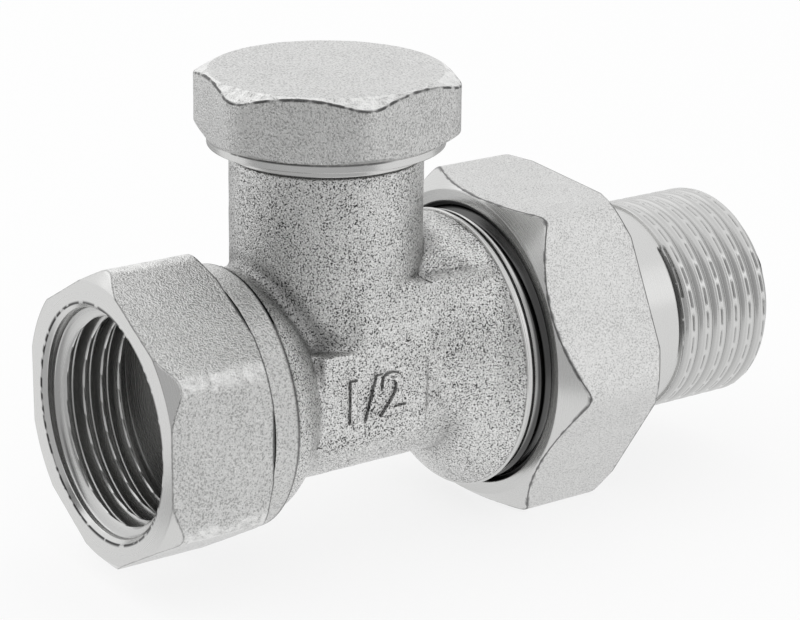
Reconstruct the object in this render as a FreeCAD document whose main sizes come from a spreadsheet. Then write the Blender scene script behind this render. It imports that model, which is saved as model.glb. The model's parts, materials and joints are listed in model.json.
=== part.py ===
import FreeCAD, Part
import os
import Sketcher
from FreeCAD import Placement, Rotation, Vector

# A straight manual radiator valve of nominal size one half inch.
# The origin is the centre of the inlet face, +X runs along the flow to the tail's end
# and +Z runs up along the neck. All sizes are in millimetres.

os.makedirs("parts", exist_ok=True)
doc = FreeCAD.newDocument("radiator_valve")

# Driving dimensions
# Each row holds the name, the value and what the value is.
SIZES = [
    # Inlet end of the body
    ("inlet_wall", 2.0225, "metal between the inlet's thread and the hexagon's flats"),
    ("inlet_hex_length", 10.3, "length of the inlet hexagon"),
    ("inlet_corner_round", 2.2, "rounding of the inlet hexagon's corners"),
    ("inlet_face_margin", 0.45, "how far the flat end face reaches past the flats"),
    ("inlet_rear_slope", 30.0, "slope of the rear chamfer, in degrees"),
    ("pipe_thread_radius", 10.4775, "major radius of the pipe thread, in the inlet and on the tail"),
    ("inlet_mouth_chamfer", 0.42, "lead-in of the inlet bore"),
    ("inlet_depth", 13.0, "depth of the inlet bore"),
    # Collar, tube, flare and union end of the body
    ("collar_inset", 0.3, "how far the collar lies inside the hexagon's flats"),
    ("shoulder_length", 4.6, "length of the curve from the collar to the tube"),
    ("shoulder_round", 14.0, "radius of the curve from the collar to the tube"),
    ("tube_radius", 9.0, "radius of the tube"),
    ("tube_lead", 2.6, "how far the shoulder's curve reaches under the neck"),
    ("flare_gap", 0.6, "length of the tube between the neck and the flare"),
    ("flare_round", 30.0, "radius of the flare's domed curve"),
    ("flare_length", 4.0, "length of the flare"),
    ("flange_lip", 0.25, "how far the flange stands proud of the union thread"),
    ("flange_length", 0.1, "length of the flange"),
    ("union_thread_radius", 13.22, "major radius of the union thread"),
    ("union_relief_depth", 0.7, "depth of the groove in front of the union thread"),
    ("union_relief_length", 0.8, "length of that groove"),
    ("union_thread_length", 7.7, "length of the union thread"),
    ("union_chamfer", 0.5, "chamfer on the body's end"),
    # Neck and marking pad of the body
    ("neck_x", 23.9, "place of the neck's axis"),
    ("neck_inset", 0.1, "how much narrower the neck's radius is than the tube's"),
    ("neck_top", 21.3, "height of the neck's shoulder"),
    ("neck_ledge", 0.9, "width of the neck's shoulder, down to the cap's thread"),
    ("spigot_height", 5.1, "height of the neck's rim above its shoulder"),
    ("neck_fillet", 1.0, "fillet where the neck meets the tube"),
    ("dome_start_radius", 7.4, "radius of the slanting dome at the neck's axis"),
    ("dome_start_rise", 6.6, "height of the dome's middle at the neck's axis"),
    ("dome_end_rise", 0.9, "height of the dome's middle at the flange"),
    ("pad_stand", 0.3, "how far the pad's face stands out from the tube"),
    ("pad_width", 11.3, "width of the pad along the tube"),
    ("pad_bottom", 3.7, "how far the pad reaches below the axis"),
    ("pad_top", 5.4, "how far the pad reaches above the axis"),
    # Water way in the body
    ("seat_level", 1.5, "height of the valve seat"),
    ("seat_thickness", 1.2, "thickness of the web that carries the seat"),
    ("seat_radius", 4.6, "radius of the opening in the seat"),
    ("sump_depth", 6.6, "how far the space under the seat reaches down"),
    ("chamber_radius", 6.0, "radius of the chamber above the seat"),
    ("inlet_way_radius", 3.5, "radius of the drilling from the inlet"),
    ("outlet_way_radius", 3.1, "radius of the drilling to the outlet"),
    ("outlet_way_margin", 0.1, "how far that drilling stays above the seat"),
    ("outlet_depth", 11.5, "depth of the outlet bore"),
    ("outlet_radius", 7.5, "radius of the outlet bore"),
    ("nose_seat_depth", 4.0, "depth of the wider bore for the tail's nose"),
    ("nose_seat_radius", 9.0, "radius of the bore for the tail's nose"),
    # Bonnet and retaining ring
    ("bonnet_seat", 12.5, "height of the step that the bonnet sits on"),
    ("bonnet_step", 0.4, "how much wider the bonnet's bore is than the chamber"),
    ("bonnet_clearance", 0.06, "radial play between the bonnet and the neck"),
    ("bonnet_recess", 0.8, "how far the bonnet's top lies below the neck's rim"),
    ("bonnet_groove_rise", 1.9, "height of the middle of the bonnet's seal groove above its foot"),
    ("bonnet_groove_depth", 0.8, "radial room for the bonnet's seal"),
    ("bonnet_slot_width", 2.0, "width of the bonnet's two key slots"),
    ("bonnet_slot_depth", 1.0, "depth of those slots"),
    ("counterbore_step", 0.54, "how much wider the bonnet's upper bore is than its lower one"),
    ("counterbore_drop", 0.9, "how far that upper bore reaches below the retaining ring"),
    ("ring_groove_depth", 0.4, "depth of the retaining ring's groove"),
    ("ring_thickness", 0.8, "thickness of the retaining ring"),
    ("ring_overlap", 0.8, "how far the retaining ring reaches over the spindle's rim"),
    ("ring_play", 0.05, "gap between the retaining ring and its groove"),
    ("ring_gap_angle", 50.0, "opening of the retaining ring, in degrees"),
    # Spindle
    ("spindle_radius", 4.5, "radius of the spindle"),
    ("spindle_clearance", 0.06, "radial play of the spindle in the bonnet"),
    ("spindle_recess", 7.4, "how far the shut spindle's top lies below the neck's rim"),
    ("spindle_lift", 4.0, "travel of the spindle"),
    ("spindle_lift_play", 0.3, "gap between the lifted spindle and the retaining ring"),
    ("spindle_shoulder_play", 0.3, "gap between the spindle's lower shoulder and the plug"),
    ("spindle_neck_radius", 1.6, "radius of the neck above the button"),
    ("button_radius", 2.6, "radius of the button end"),
    ("button_rise", 2.3, "height of the button above the plug's lower face"),
    ("button_thickness", 1.2, "thickness of the button"),
    ("spindle_groove_depth", 0.86, "radial room for each of the spindle's seals"),
    ("upper_groove_drop", 1.3, "how far the upper seal groove lies below the spindle's top"),
    ("groove_pitch", 1.8, "distance between the spindle's two seal grooves"),
    ("seal_groove_width", 1.1, "width of the seal grooves"),
    ("socket_flats", 5.0, "hexagon socket across its flats"),
    ("socket_depth", 5.0, "depth of the hexagon socket"),
    # Throttle plug and what it holds
    ("plug_clearance", 0.4, "radial play of the throttle plug in its chamber"),
    ("plug_height", 5.0, "height of the throttle plug"),
    ("plug_play", 0.2, "play of the button in the plug's slot"),
    ("seal_gap", 0.1, "gap between the shut seal and the seat"),
    ("seal_thickness", 1.4, "thickness of the soft seal"),
    ("seal_inset", 0.2, "how far the soft seal's edge lies inside the plug's"),
    ("plug_washer_radius", 3.2, "radius of the washer under the seal"),
    ("plug_washer_thickness", 0.7, "thickness of that washer"),
    ("screw_radius", 1.25, "radius of the plug's screw"),
    ("screw_play", 0.1, "radial play round the screw"),
    ("screw_head_radius", 2.4, "radius of the screw's head"),
    ("screw_head_height", 1.5, "height of the screw's head"),
    ("screw_length", 3.7, "length of the screw under its head"),
    ("screw_slot_width", 0.7, "width of the slot in the screw's head"),
    # Cap and its gasket
    ("cap_margin", 2.1, "how far the cap's flats stand out from the neck"),
    ("cap_corner_round", 2.2, "rounding of the cap's corners"),
    ("cap_angle", 14.6, "turn of the cap about the neck, in degrees"),
    ("cap_gap", 0.25, "gap between the cap and the neck's shoulder"),
    ("cap_washer_setback", 0.16, "how far the cap's washer face lies inside the flats"),
    ("cap_washer_height", 1.55, "height of the washer face"),
    ("cap_washer_rise", 0.8, "height of the bevel under the washer face"),
    ("cap_washer_inset", 0.95, "how far that bevel runs in"),
    ("cap_face_setback", 0.32, "how far the cap's flat top lies inside the flats"),
    ("cap_top_slope", 30.0, "slope of the cap's upper chamfer, in degrees"),
    ("cap_bottom_slope", 28.0, "slope of the cap's lower chamfer, in degrees"),
    ("cap_room", 1.03, "room for the gasket above the neck's rim"),
    ("cap_roof", 1.7, "thickness of the cap's roof"),
    ("cap_clearance", 0.07, "radial play of the cap on the neck"),
    ("cap_mouth_chamfer", 0.5, "lead-in of the cap's bore"),
    ("gasket_inner_radius", 5.3, "inner radius of the cap's gasket"),
    ("gasket_play", 0.25, "radial play round the gasket"),
    ("gasket_gap", 0.05, "gap above and below the gasket"),
    # Union nut
    ("nut_wall", 1.7, "metal between the nut's bore and its flats"),
    ("nut_corner_round", 1.5, "rounding of the nut's corners"),
    ("nut_angle", 3.4, "turn of the nut about the flow axis, in degrees"),
    ("nut_overlap", 6.3, "how far the nut reaches over the body's end"),
    ("nut_length", 11.35, "length of the nut"),
    ("nut_face_setback", 0.1, "how far the nut's front face lies inside the flats"),
    ("nut_rear_margin", 0.9, "how far the nut's rear face reaches past the flats"),
    ("nut_rear_slope", 40.0, "slope of the nut's rear chamfer, in degrees"),
    ("nut_mouth_chamfer", 0.47, "lead-in of the nut's bore"),
    ("nut_clearance", 0.08, "radial play of the nut on the body's thread"),
    ("nut_hole_play", 0.27, "radial play of the nut round the tail's thread"),
    # Tail piece and its seal
    ("tail_gap", 0.1, "gap in front of and behind the tail's collar"),
    ("tail_collar_play", 0.7, "radial play of the tail's collar in the nut"),
    ("tail_collar_thickness", 2.1, "thickness of the tail's collar"),
    ("tail_nose_length", 3.1, "length of the tail's nose in front of its collar"),
    ("tail_nose_play", 0.3, "radial play of the nose in the body"),
    ("tail_groove_depth", 1.1, "radial room for the nose's seal"),
    ("tail_groove_setback", 1.6, "distance from the collar to the middle of the seal's groove"),
    ("tail_groove_width", 1.5, "width of that groove"),
    ("tail_band_step", 0.1775, "how far the smooth band lies inside the thread's crests"),
    ("tail_length", 24.06, "length of the tail from the front of its collar"),
    ("tail_thread_length", 11.56, "length of the tail's thread"),
    ("tail_chamfer", 0.6, "chamfer on the tail's end"),
    ("tail_bore_radius", 5.6, "radius of the tail's bore"),
    ("key_flats", 12.0, "hexagon in the tail's bore for the mounting key"),
    ("key_depth", 9.0, "depth of that hexagon"),
    # Shared by several pieces
    ("seal_play", 0.03, "how far each round ring stays clear of its bore and groove"),
    ("overrun", 1.0, "how far the cuts of slots run past the metal"),
]

sheet = doc.addObject("Spreadsheet::Sheet", "size")
for row, (alias, value, meaning) in enumerate(SIZES, start=1):
    sheet.set(f"A{row}", meaning)
    sheet.set(f"B{row}", str(value))
    sheet.setAlias(f"B{row}", alias)
doc.recompute()

# A sketch counts its axes from minus one downwards, and the points of a curve from one upwards.
X_AXIS, Y_AXIS = range(-1, -3, -1)
START, END, CENTRE = range(1, 4)
ORIGIN = (X_AXIS, START)
FULL_TURN = 360
QUARTER_TURN = 90
# The least difference between two lengths or directions that counts, in millimetres
SAME = 0.001
# The radius that clears a hexagon's corners, as a share of its flats
CORNER_REACH = 0.62

# Levels and radii that several sub-parts share
INLET_FLATS = "(2 * (size.pipe_thread_radius + size.inlet_wall))"
NECK_RADIUS = "(size.tube_radius - size.neck_inset)"
SPIGOT_RADIUS = f"({NECK_RADIUS} - size.neck_ledge)"
TUBE_START = f"(size.neck_x - {NECK_RADIUS} + size.tube_lead)"
TUBE_END = f"(size.neck_x + {NECK_RADIUS} + size.flare_gap)"
FLANGE_START = f"({TUBE_END} + size.flare_length)"
FLANGE_END = f"({FLANGE_START} + size.flange_length)"
UNION_THREAD_START = f"({FLANGE_END} + size.union_relief_length)"
UNION_END = f"({UNION_THREAD_START} + size.union_thread_length)"
OUTLET_FLOOR = f"({UNION_END} - size.outlet_depth)"
SPIGOT_TOP = "(size.neck_top + size.spigot_height)"
SEAL_BOTTOM = "(size.seat_level + size.seal_gap)"
PLUG_BOTTOM = f"({SEAL_BOTTOM} + size.seal_thickness)"
PLUG_TOP = f"({PLUG_BOTTOM} + size.plug_height)"
PLUG_RADIUS = "(size.chamber_radius - size.plug_clearance)"
WASHER_BOTTOM = f"({SEAL_BOTTOM} - size.plug_washer_thickness)"
SCREW_HOLE = "(size.screw_radius + size.screw_play)"
BUTTON_BOTTOM = f"({PLUG_BOTTOM} + size.button_rise)"
BUTTON_TOP = f"({BUTTON_BOTTOM} + size.button_thickness)"
SPINDLE_TOP = f"({SPIGOT_TOP} - size.spindle_recess)"
SPINDLE_BORE = "(size.spindle_radius + size.spindle_clearance)"
SPINDLE_GROOVE = f"({SPINDLE_BORE} - size.spindle_groove_depth)"
UPPER_GROOVE = f"({SPINDLE_TOP} - size.upper_groove_drop)"
LOWER_GROOVE = f"({UPPER_GROOVE} - size.groove_pitch)"
BONNET_BORE = "(size.chamber_radius + size.bonnet_step)"
BONNET_TOP = f"({SPIGOT_TOP} - size.bonnet_recess)"
BONNET_SEAL = "(size.bonnet_seat + size.bonnet_groove_rise)"
BONNET_GROOVE = f"({BONNET_BORE} - size.bonnet_groove_depth)"
COUNTERBORE = f"({SPINDLE_BORE} + size.counterbore_step)"
RING_GROOVE = f"({COUNTERBORE} + size.ring_groove_depth)"
RING_SEAT = f"({SPINDLE_TOP} + size.spindle_lift + size.spindle_lift_play)"
CAP_FLATS = f"(2 * ({NECK_RADIUS} + size.cap_margin))"
CAP_BOTTOM = "(size.neck_top + size.cap_gap)"
CAP_HEX_START = f"({CAP_BOTTOM} + size.cap_washer_height)"
CAP_ROOF_FACE = f"({SPIGOT_TOP} + size.cap_room)"
CAP_TOP = f"({CAP_ROOF_FACE} + size.cap_roof)"
COLLAR_START = f"({UNION_END} + size.tail_gap)"
COLLAR_END = f"({COLLAR_START} + size.tail_collar_thickness)"
TAIL_SEAL = f"({COLLAR_START} - size.tail_groove_setback)"
TAIL_NOSE = "(size.nose_seat_radius - size.tail_nose_play)"
TAIL_GROOVE = "(size.nose_seat_radius - size.tail_groove_depth)"
TAIL_END = f"({COLLAR_START} + size.tail_length)"
NUT_START = f"({UNION_END} - size.nut_overlap)"
NUT_END = f"({NUT_START} + size.nut_length)"
NUT_BORE = "(size.union_thread_radius + size.nut_clearance)"
NUT_FLATS = f"(2 * ({NUT_BORE} + size.nut_wall))"


def number(expression):
    """The present value of an expression of the sheet's sizes."""
    return float(sheet.evalExpression(expression))


def new_body(name):
    """An empty sub-part whose label names its file."""
    body = doc.addObject("PartDesign::Body", name)
    body.Label = name
    return body


def new_sketch(body, name, role, offset=None):
    """A sketch on one of the sub-part's own origin planes, moved along its normal by an expression."""
    plane = next(item for item in body.Origin.OriginFeatures if item.Role == role)
    sketch = body.newObject("Sketcher::SketchObject", name)
    sketch.AttachmentSupport = [(plane, "")]
    sketch.MapMode = "FlatFace"
    if offset:
        sketch.setExpression("AttachmentOffset.Base.z", offset)
    return sketch


def place_point(sketch, index, point, x, y):
    """Ties a point of a sketch to two expressions."""
    for kind, text, axis in (("DistanceX", x, Y_AXIS), ("DistanceY", y, X_AXIS)):
        if text == "0":
            sketch.addConstraint(Sketcher.Constraint("PointOnObject", index, point, axis))
            continue
        added = sketch.addConstraint(Sketcher.Constraint(kind, *ORIGIN, index, point, number(text)))
        sketch.setExpression(f"Constraints[{added}]", text)


def arc_between(start, end, radius, clockwise):
    """The short arc from one point to another, with its centre on the side that the turn gives."""
    chord = end - start
    middle = (start + end) * 0.5
    rise = (radius**2 - chord.Length**2 / 4) ** 0.5
    normal = Vector(chord.y, -chord.x, 0) if clockwise else Vector(-chord.y, chord.x, 0)
    centre = middle + normal.normalize() * rise
    first, last = (end, start) if clockwise else (start, end)
    circle = Part.Circle(centre, Vector(0, 0, 1), radius)
    return Part.ArcOfCircle(circle, circle.parameter(first), circle.parameter(last))


def outline(sketch, corners):
    """Draws a closed outline. A corner is (x, y) or (x, y, radius): the radius makes the side that
    leaves that corner a clockwise arc. All three are expressions."""
    points = [Vector(number(corner[0]), number(corner[1]), 0) for corner in corners]
    ends = []
    for place, corner in enumerate(corners):
        start = points[place]
        end = points[(place + 1) % len(points)]
        if len(corner) == 3:
            index = sketch.addGeometry(arc_between(start, end, number(corner[2]), True), False)
            ends.append((index, END, START))
            added = sketch.addConstraint(Sketcher.Constraint("Radius", index, number(corner[2])))
            sketch.setExpression(f"Constraints[{added}]", corner[2])
        else:
            index = sketch.addGeometry(Part.LineSegment(start, end), False)
            ends.append((index, START, END))
    for place, (index, first, last) in enumerate(ends):
        after, after_first, after_last = ends[(place + 1) % len(ends)]
        sketch.addConstraint(Sketcher.Constraint("Coincident", index, last, after, after_first))
        place_point(sketch, index, first, corners[place][0], corners[place][1])


def circle(sketch, x, y, radius):
    """Draws a circle whose centre and radius are expressions."""
    centre = Vector(number(x), number(y), 0)
    index = sketch.addGeometry(Part.Circle(centre, Vector(0, 0, 1), number(radius)), False)
    place_point(sketch, index, CENTRE, x, y)
    added = sketch.addConstraint(Sketcher.Constraint("Radius", index, number(radius)))
    sketch.setExpression(f"Constraints[{added}]", radius)


def across_slot(sketch, reach, width):
    """Draws a slot about the origin, along the sketch's first axis and past the metal on both sides."""
    across = f"({reach} + size.overrun)"
    half = f"{width} / 2"
    corners = [(f"-{across}", f"-{half}"), (across, f"-{half}"), (across, half), (f"-{across}", half)]
    outline(sketch, corners)


def hexagon(sketch, flats, corner_on_x):
    """Draws a hexagon about the origin from its size across the flats."""
    reach = f"{flats} / sqrt(3)"
    half = f"{flats} / 2"
    corners = [
        (reach, "0"),
        (f"{reach} / 2", half),
        (f"-{reach} / 2", half),
        (f"-{reach}", "0"),
        (f"-{reach} / 2", f"-{half}"),
        (f"{reach} / 2", f"-{half}"),
    ]
    if not corner_on_x:
        corners = [(y, x) for x, y in corners]
    outline(sketch, corners)


def checked(body, feature, adds):
    """Recomputes and makes sure that a feature added or removed some metal."""
    before = feature.BaseFeature.Shape.Volume if feature.BaseFeature else 0.0
    doc.recompute()
    change = feature.Shape.Volume - before
    if (change > 0) != adds:
        raise RuntimeError(f"{body.Label}: {feature.Label} changed the volume by {change:.4f}")
    return feature


def turned(body, name, corners, axis="H_Axis", adds=True, opening=None):
    """Turns an outline in the XZ plane about an axis, as a solid or as a cut. An opening, in degrees,
    is left out of the full turn."""
    sketch = new_sketch(body, f"{name}_outline", "XZ_Plane")
    outline(sketch, corners)
    kind = "PartDesign::Revolution" if adds else "PartDesign::Groove"
    feature = body.newObject(kind, name)
    feature.Profile = sketch
    feature.ReferenceAxis = (sketch, [axis])
    feature.Angle = FULL_TURN
    if opening:
        feature.setExpression("Angle", f"{FULL_TURN} - {opening}")
    return checked(body, feature, adds)


def turned_on_neck(body, name, corners):
    """Cuts an outline turned about the neck's axis; x is measured from that axis."""
    sketch = new_sketch(body, f"{name}_outline", "XZ_Plane")
    low = Vector(number("size.neck_x"), 0, 0)
    high = Vector(low.x, number("size.neck_top"), 0)
    index = sketch.addGeometry(Part.LineSegment(low, high), True)
    place_point(sketch, index, START, "size.neck_x", "0")
    place_point(sketch, index, END, "size.neck_x", "size.neck_top")
    outline(sketch, [(f"size.neck_x + {x}", y) for x, y in corners])
    feature = body.newObject("PartDesign::Groove", name)
    feature.Profile = sketch
    feature.ReferenceAxis = (sketch, ["Axis0"])
    feature.Angle = FULL_TURN
    return checked(body, feature, False)


def pushed(body, name, sketch, length, adds=True, backwards=False):
    """Pushes a sketch along its normal, as a solid or as a cut."""
    feature = body.newObject("PartDesign::Pad" if adds else "PartDesign::Pocket", name)
    feature.Profile = sketch
    feature.setExpression("Length", length)
    # A pocket runs against its sketch's normal unless it is reversed.
    feature.Reversed = backwards if adds else not backwards
    return checked(body, feature, adds)


def rounded(body, name, base, edges, radius):
    """Rounds the named edges of a feature."""
    feature = body.newObject("PartDesign::Fillet", name)
    feature.Base = (base, edges)
    feature.setExpression("Radius", radius)
    doc.recompute()
    return feature


def straight_edges(feature, axis):
    """The names of a feature's straight edges that run along an axis."""
    names = []
    for place, edge in enumerate(feature.Shape.Edges, start=1):
        is_line = edge.Curve.TypeId == "Part::GeomLine"
        if is_line and edge.Curve.Direction.cross(axis).Length < SAME:
            names.append(f"Edge{place}")
    return names


def valve_body():
    """The forging: hexagon, collar, tube, flare, union end, neck, dome, pad and the water way."""
    body = new_body("valve_body")
    sketch = new_sketch(body, "hexagon_outline", "YZ_Plane")
    hexagon(sketch, INLET_FLATS, corner_on_x=False)
    hex_end = pushed(body, "hexagon_end", sketch, "size.inlet_hex_length")
    edges = straight_edges(hex_end, Vector(1, 0, 0))
    rounded(body, "hexagon_corners", hex_end, edges, "size.inlet_corner_round")
    reach = f"({INLET_FLATS} * {CORNER_REACH})"
    face = f"({INLET_FLATS} / 2 + size.inlet_face_margin)"
    turned(body, "front_chamfer", [
        ("0", face),
        ("0", reach),
        (f"{reach} - {face}", reach),
    ], adds=False)
    turned(body, "rear_chamfer", [
        ("size.inlet_hex_length", face),
        ("size.inlet_hex_length", reach),
        (sloped("size.inlet_hex_length", f"{face} - {reach}", "size.inlet_rear_slope"), reach),
    ], adds=False)
    collar = f"{INLET_FLATS} / 2 - size.collar_inset"
    flange = "size.union_thread_radius + size.flange_lip"
    relief = "size.union_thread_radius - size.union_relief_depth"
    turned(body, "round_outside", [
        ("0", "0"),
        ("0", collar),
        (f"{TUBE_START} - size.shoulder_length", collar, "size.shoulder_round"),
        (TUBE_START, "size.tube_radius"),
        (TUBE_END, "size.tube_radius", "size.flare_round"),
        (FLANGE_START, flange),
        (FLANGE_END, flange),
        (FLANGE_END, relief),
        (f"{UNION_THREAD_START} - size.union_relief_depth", relief),
        (UNION_THREAD_START, "size.union_thread_radius"),
        (f"{UNION_END} - size.union_chamfer", "size.union_thread_radius"),
        (UNION_END, "size.union_thread_radius - size.union_chamfer"),
        (UNION_END, "0"),
    ])
    sketch = new_sketch(body, "neck_outline", "XY_Plane")
    circle(sketch, "size.neck_x", "0", NECK_RADIUS)
    neck = pushed(body, "neck", sketch, "size.neck_top")
    rounded(body, "neck_root", neck, neck_root_edges(neck), "size.neck_fillet")
    slanting_dome(body)
    sketch = new_sketch(body, "spigot_outline", "XY_Plane")
    circle(sketch, "size.neck_x", "0", SPIGOT_RADIUS)
    pushed(body, "spigot", sketch, SPIGOT_TOP)
    sketch = new_sketch(body, "pad_outline", "XZ_Plane")
    pad_end = f"{TUBE_START} + size.pad_width"
    outline(sketch, [
        (TUBE_START, "-size.pad_bottom"),
        (pad_end, "-size.pad_bottom"),
        (pad_end, "size.pad_top"),
        (TUBE_START, "size.pad_top"),
    ])
    pushed(body, "marking_pad", sketch, "size.tube_radius + size.pad_stand")
    cut_water_way(body)
    return body


def slanting_dome(body):
    """Adds the slanting cone that joins the neck's outlet side to the flange, above the flow axis."""
    start = new_sketch(body, "dome_start_outline", "YZ_Plane", "size.neck_x")
    circle(start, "0", "size.dome_start_rise", "size.dome_start_radius")
    end = new_sketch(body, "dome_end_outline", "YZ_Plane", FLANGE_START)
    circle(end, "0", "size.dome_end_rise", "size.union_thread_radius - size.dome_end_rise")
    dome = body.newObject("PartDesign::AdditiveLoft", "dome")
    dome.Profile = start
    dome.Sections = [end]
    checked(body, dome, True)


def sloped(level, run, angle):
    """The level that a slope reaches after a run; its angle is a size in degrees."""
    return f"{level} + ({run}) * tan({angle} * 1 deg)"


def neck_root_edges(neck):
    """The names of the curved edges where the neck's inlet side meets the tube and the shoulder."""
    names = []
    for place, edge in enumerate(neck.Shape.Edges, start=1):
        middle = edge.valueAt((edge.FirstParameter + edge.LastParameter) / 2)
        away = Vector(middle.x - number("size.neck_x"), middle.y, 0).Length
        on_side = abs(away - number(NECK_RADIUS)) < SAME
        on_inlet_side = middle.x < number("size.neck_x")
        if on_side and on_inlet_side and SAME < middle.z < number("size.neck_top") - SAME:
            names.append(f"Edge{place}")
    return names


def cut_water_way(body):
    """Bores the body: inlet, outlet, neck, seat and the two drillings between them."""
    turned(body, "inlet_bore", [
        ("0", "0"),
        ("0", "size.pipe_thread_radius + size.inlet_mouth_chamfer"),
        ("size.inlet_mouth_chamfer", "size.pipe_thread_radius"),
        ("size.inlet_depth", "size.pipe_thread_radius"),
        ("size.inlet_depth", "0"),
    ], adds=False)
    nose_seat = f"{UNION_END} - size.nose_seat_depth"
    turned(body, "outlet_bore", [
        (UNION_END, "0"),
        (UNION_END, "size.nose_seat_radius"),
        (nose_seat, "size.nose_seat_radius"),
        (nose_seat, "size.outlet_radius"),
        (OUTLET_FLOOR, "size.outlet_radius"),
        (OUTLET_FLOOR, "0"),
    ], adds=False)
    turned_on_neck(body, "neck_bore", [
        ("0", "-size.sump_depth"),
        ("size.seat_radius", "-size.sump_depth"),
        ("size.seat_radius", "size.seat_level"),
        ("size.chamber_radius", "size.seat_level"),
        ("size.chamber_radius", "size.bonnet_seat"),
        (BONNET_BORE, "size.bonnet_seat"),
        (BONNET_BORE, SPIGOT_TOP),
        ("0", SPIGOT_TOP),
    ])
    sketch = new_sketch(body, "inlet_way_outline", "YZ_Plane", "size.inlet_depth")
    low = "size.seat_level - size.seat_thickness - size.inlet_way_radius"
    circle(sketch, "0", low, "size.inlet_way_radius")
    pushed(body, "inlet_way", sketch, "size.neck_x - size.inlet_depth", adds=False)
    sketch = new_sketch(body, "outlet_way_outline", "YZ_Plane", "size.neck_x")
    high = "size.seat_level + size.outlet_way_margin + size.outlet_way_radius"
    circle(sketch, "0", high, "size.outlet_way_radius")
    pushed(body, "outlet_way", sketch, f"{OUTLET_FLOOR} - size.neck_x", adds=False)


def on_neck(body):
    """Moves a sub-part that was made about its own Z axis to the neck."""
    body.setExpression("Placement.Base.x", "size.neck_x")
    return body


def turned_about(body, axis, angle):
    """Turns a finished sub-part about an axis by a size in degrees."""
    body.Placement.Rotation = Rotation(axis, number(angle))
    body.setExpression("Placement.Rotation.Angle", angle)
    return body


def bonnet():
    """The insert in the neck: bore for the spindle, seal groove, ring groove and two key slots."""
    body = new_body("bonnet")
    outer = f"{BONNET_BORE} - size.bonnet_clearance"
    half = "size.seal_groove_width / 2"
    ring_high = f"{RING_SEAT} + size.ring_thickness + 2 * size.ring_play"
    step = f"{RING_SEAT} - size.counterbore_drop"
    turned(body, "bonnet_turning", [
        (SPINDLE_BORE, "size.bonnet_seat"),
        (outer, "size.bonnet_seat"),
        (outer, f"{BONNET_SEAL} - {half}"),
        (BONNET_GROOVE, f"{BONNET_SEAL} - {half}"),
        (BONNET_GROOVE, f"{BONNET_SEAL} + {half}"),
        (outer, f"{BONNET_SEAL} + {half}"),
        (outer, BONNET_TOP),
        (COUNTERBORE, BONNET_TOP),
        (COUNTERBORE, ring_high),
        (RING_GROOVE, ring_high),
        (RING_GROOVE, RING_SEAT),
        (COUNTERBORE, RING_SEAT),
        (COUNTERBORE, step),
        (SPINDLE_BORE, step),
    ], axis="V_Axis")
    sketch = new_sketch(body, "slot_outline", "XY_Plane", BONNET_TOP)
    across_slot(sketch, BONNET_BORE, "size.bonnet_slot_width")
    pushed(body, "key_slots", sketch, "size.bonnet_slot_depth", adds=False, backwards=True)
    return on_neck(body)


def spindle():
    """The spindle: button end, neck, threaded shank, two seal grooves and a hexagon socket."""
    body = new_body("spindle")
    half = "size.seal_groove_width / 2"
    shoulder = f"{PLUG_TOP} + size.spindle_shoulder_play"
    turned(body, "spindle_turning", [
        ("0", BUTTON_BOTTOM),
        ("size.button_radius", BUTTON_BOTTOM),
        ("size.button_radius", BUTTON_TOP),
        ("size.spindle_neck_radius", BUTTON_TOP),
        ("size.spindle_neck_radius", shoulder),
        ("size.spindle_radius", shoulder),
        ("size.spindle_radius", f"{LOWER_GROOVE} - {half}"),
        (SPINDLE_GROOVE, f"{LOWER_GROOVE} - {half}"),
        (SPINDLE_GROOVE, f"{LOWER_GROOVE} + {half}"),
        ("size.spindle_radius", f"{LOWER_GROOVE} + {half}"),
        ("size.spindle_radius", f"{UPPER_GROOVE} - {half}"),
        (SPINDLE_GROOVE, f"{UPPER_GROOVE} - {half}"),
        (SPINDLE_GROOVE, f"{UPPER_GROOVE} + {half}"),
        ("size.spindle_radius", f"{UPPER_GROOVE} + {half}"),
        ("size.spindle_radius", SPINDLE_TOP),
        ("0", SPINDLE_TOP),
    ], axis="V_Axis")
    sketch = new_sketch(body, "socket_outline", "XY_Plane", SPINDLE_TOP)
    hexagon(sketch, "size.socket_flats", corner_on_x=True)
    pushed(body, "hexagon_socket", sketch, "size.socket_depth", adds=False, backwards=True)
    return on_neck(body)


def retaining_ring():
    """The open spring ring that stops the spindle at full lift."""
    body = new_body("retaining_ring")
    inner = "size.spindle_radius - size.ring_overlap"
    outer = f"{RING_GROOVE} - size.ring_play"
    low = f"{RING_SEAT} + size.ring_play"
    high = f"{low} + size.ring_thickness"
    corners = [(inner, low), (outer, low), (outer, high), (inner, high)]
    turned(body, "ring_turning", corners, axis="V_Axis", opening="size.ring_gap_angle")
    return on_neck(body)


def throttle_plug():
    """The plug, with a side-entry slot that holds the spindle's button and a hole for its screw."""
    body = new_body("throttle_plug")
    turned(body, "plug_turning", [
        (SCREW_HOLE, PLUG_BOTTOM),
        (PLUG_RADIUS, PLUG_BOTTOM),
        (PLUG_RADIUS, PLUG_TOP),
        (SCREW_HOLE, PLUG_TOP),
    ], axis="V_Axis")
    side = "(size.button_radius + size.plug_play)"
    throat = "(size.spindle_neck_radius + size.plug_play)"
    floor = f"{BUTTON_BOTTOM} - size.plug_play"
    ledge = f"{BUTTON_TOP} + size.plug_play"
    roof = f"{PLUG_TOP} + size.overrun"
    sketch = new_sketch(body, "slot_outline", "YZ_Plane", f"-{side}")
    outline(sketch, [
        (f"-{side}", floor),
        (side, floor),
        (side, ledge),
        (throat, ledge),
        (throat, roof),
        (f"-{throat}", roof),
        (f"-{throat}", ledge),
        (f"-{side}", ledge),
    ])
    pushed(body, "button_slot", sketch, f"{side} + {PLUG_RADIUS} + size.overrun", adds=False)
    return on_neck(body)


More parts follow.
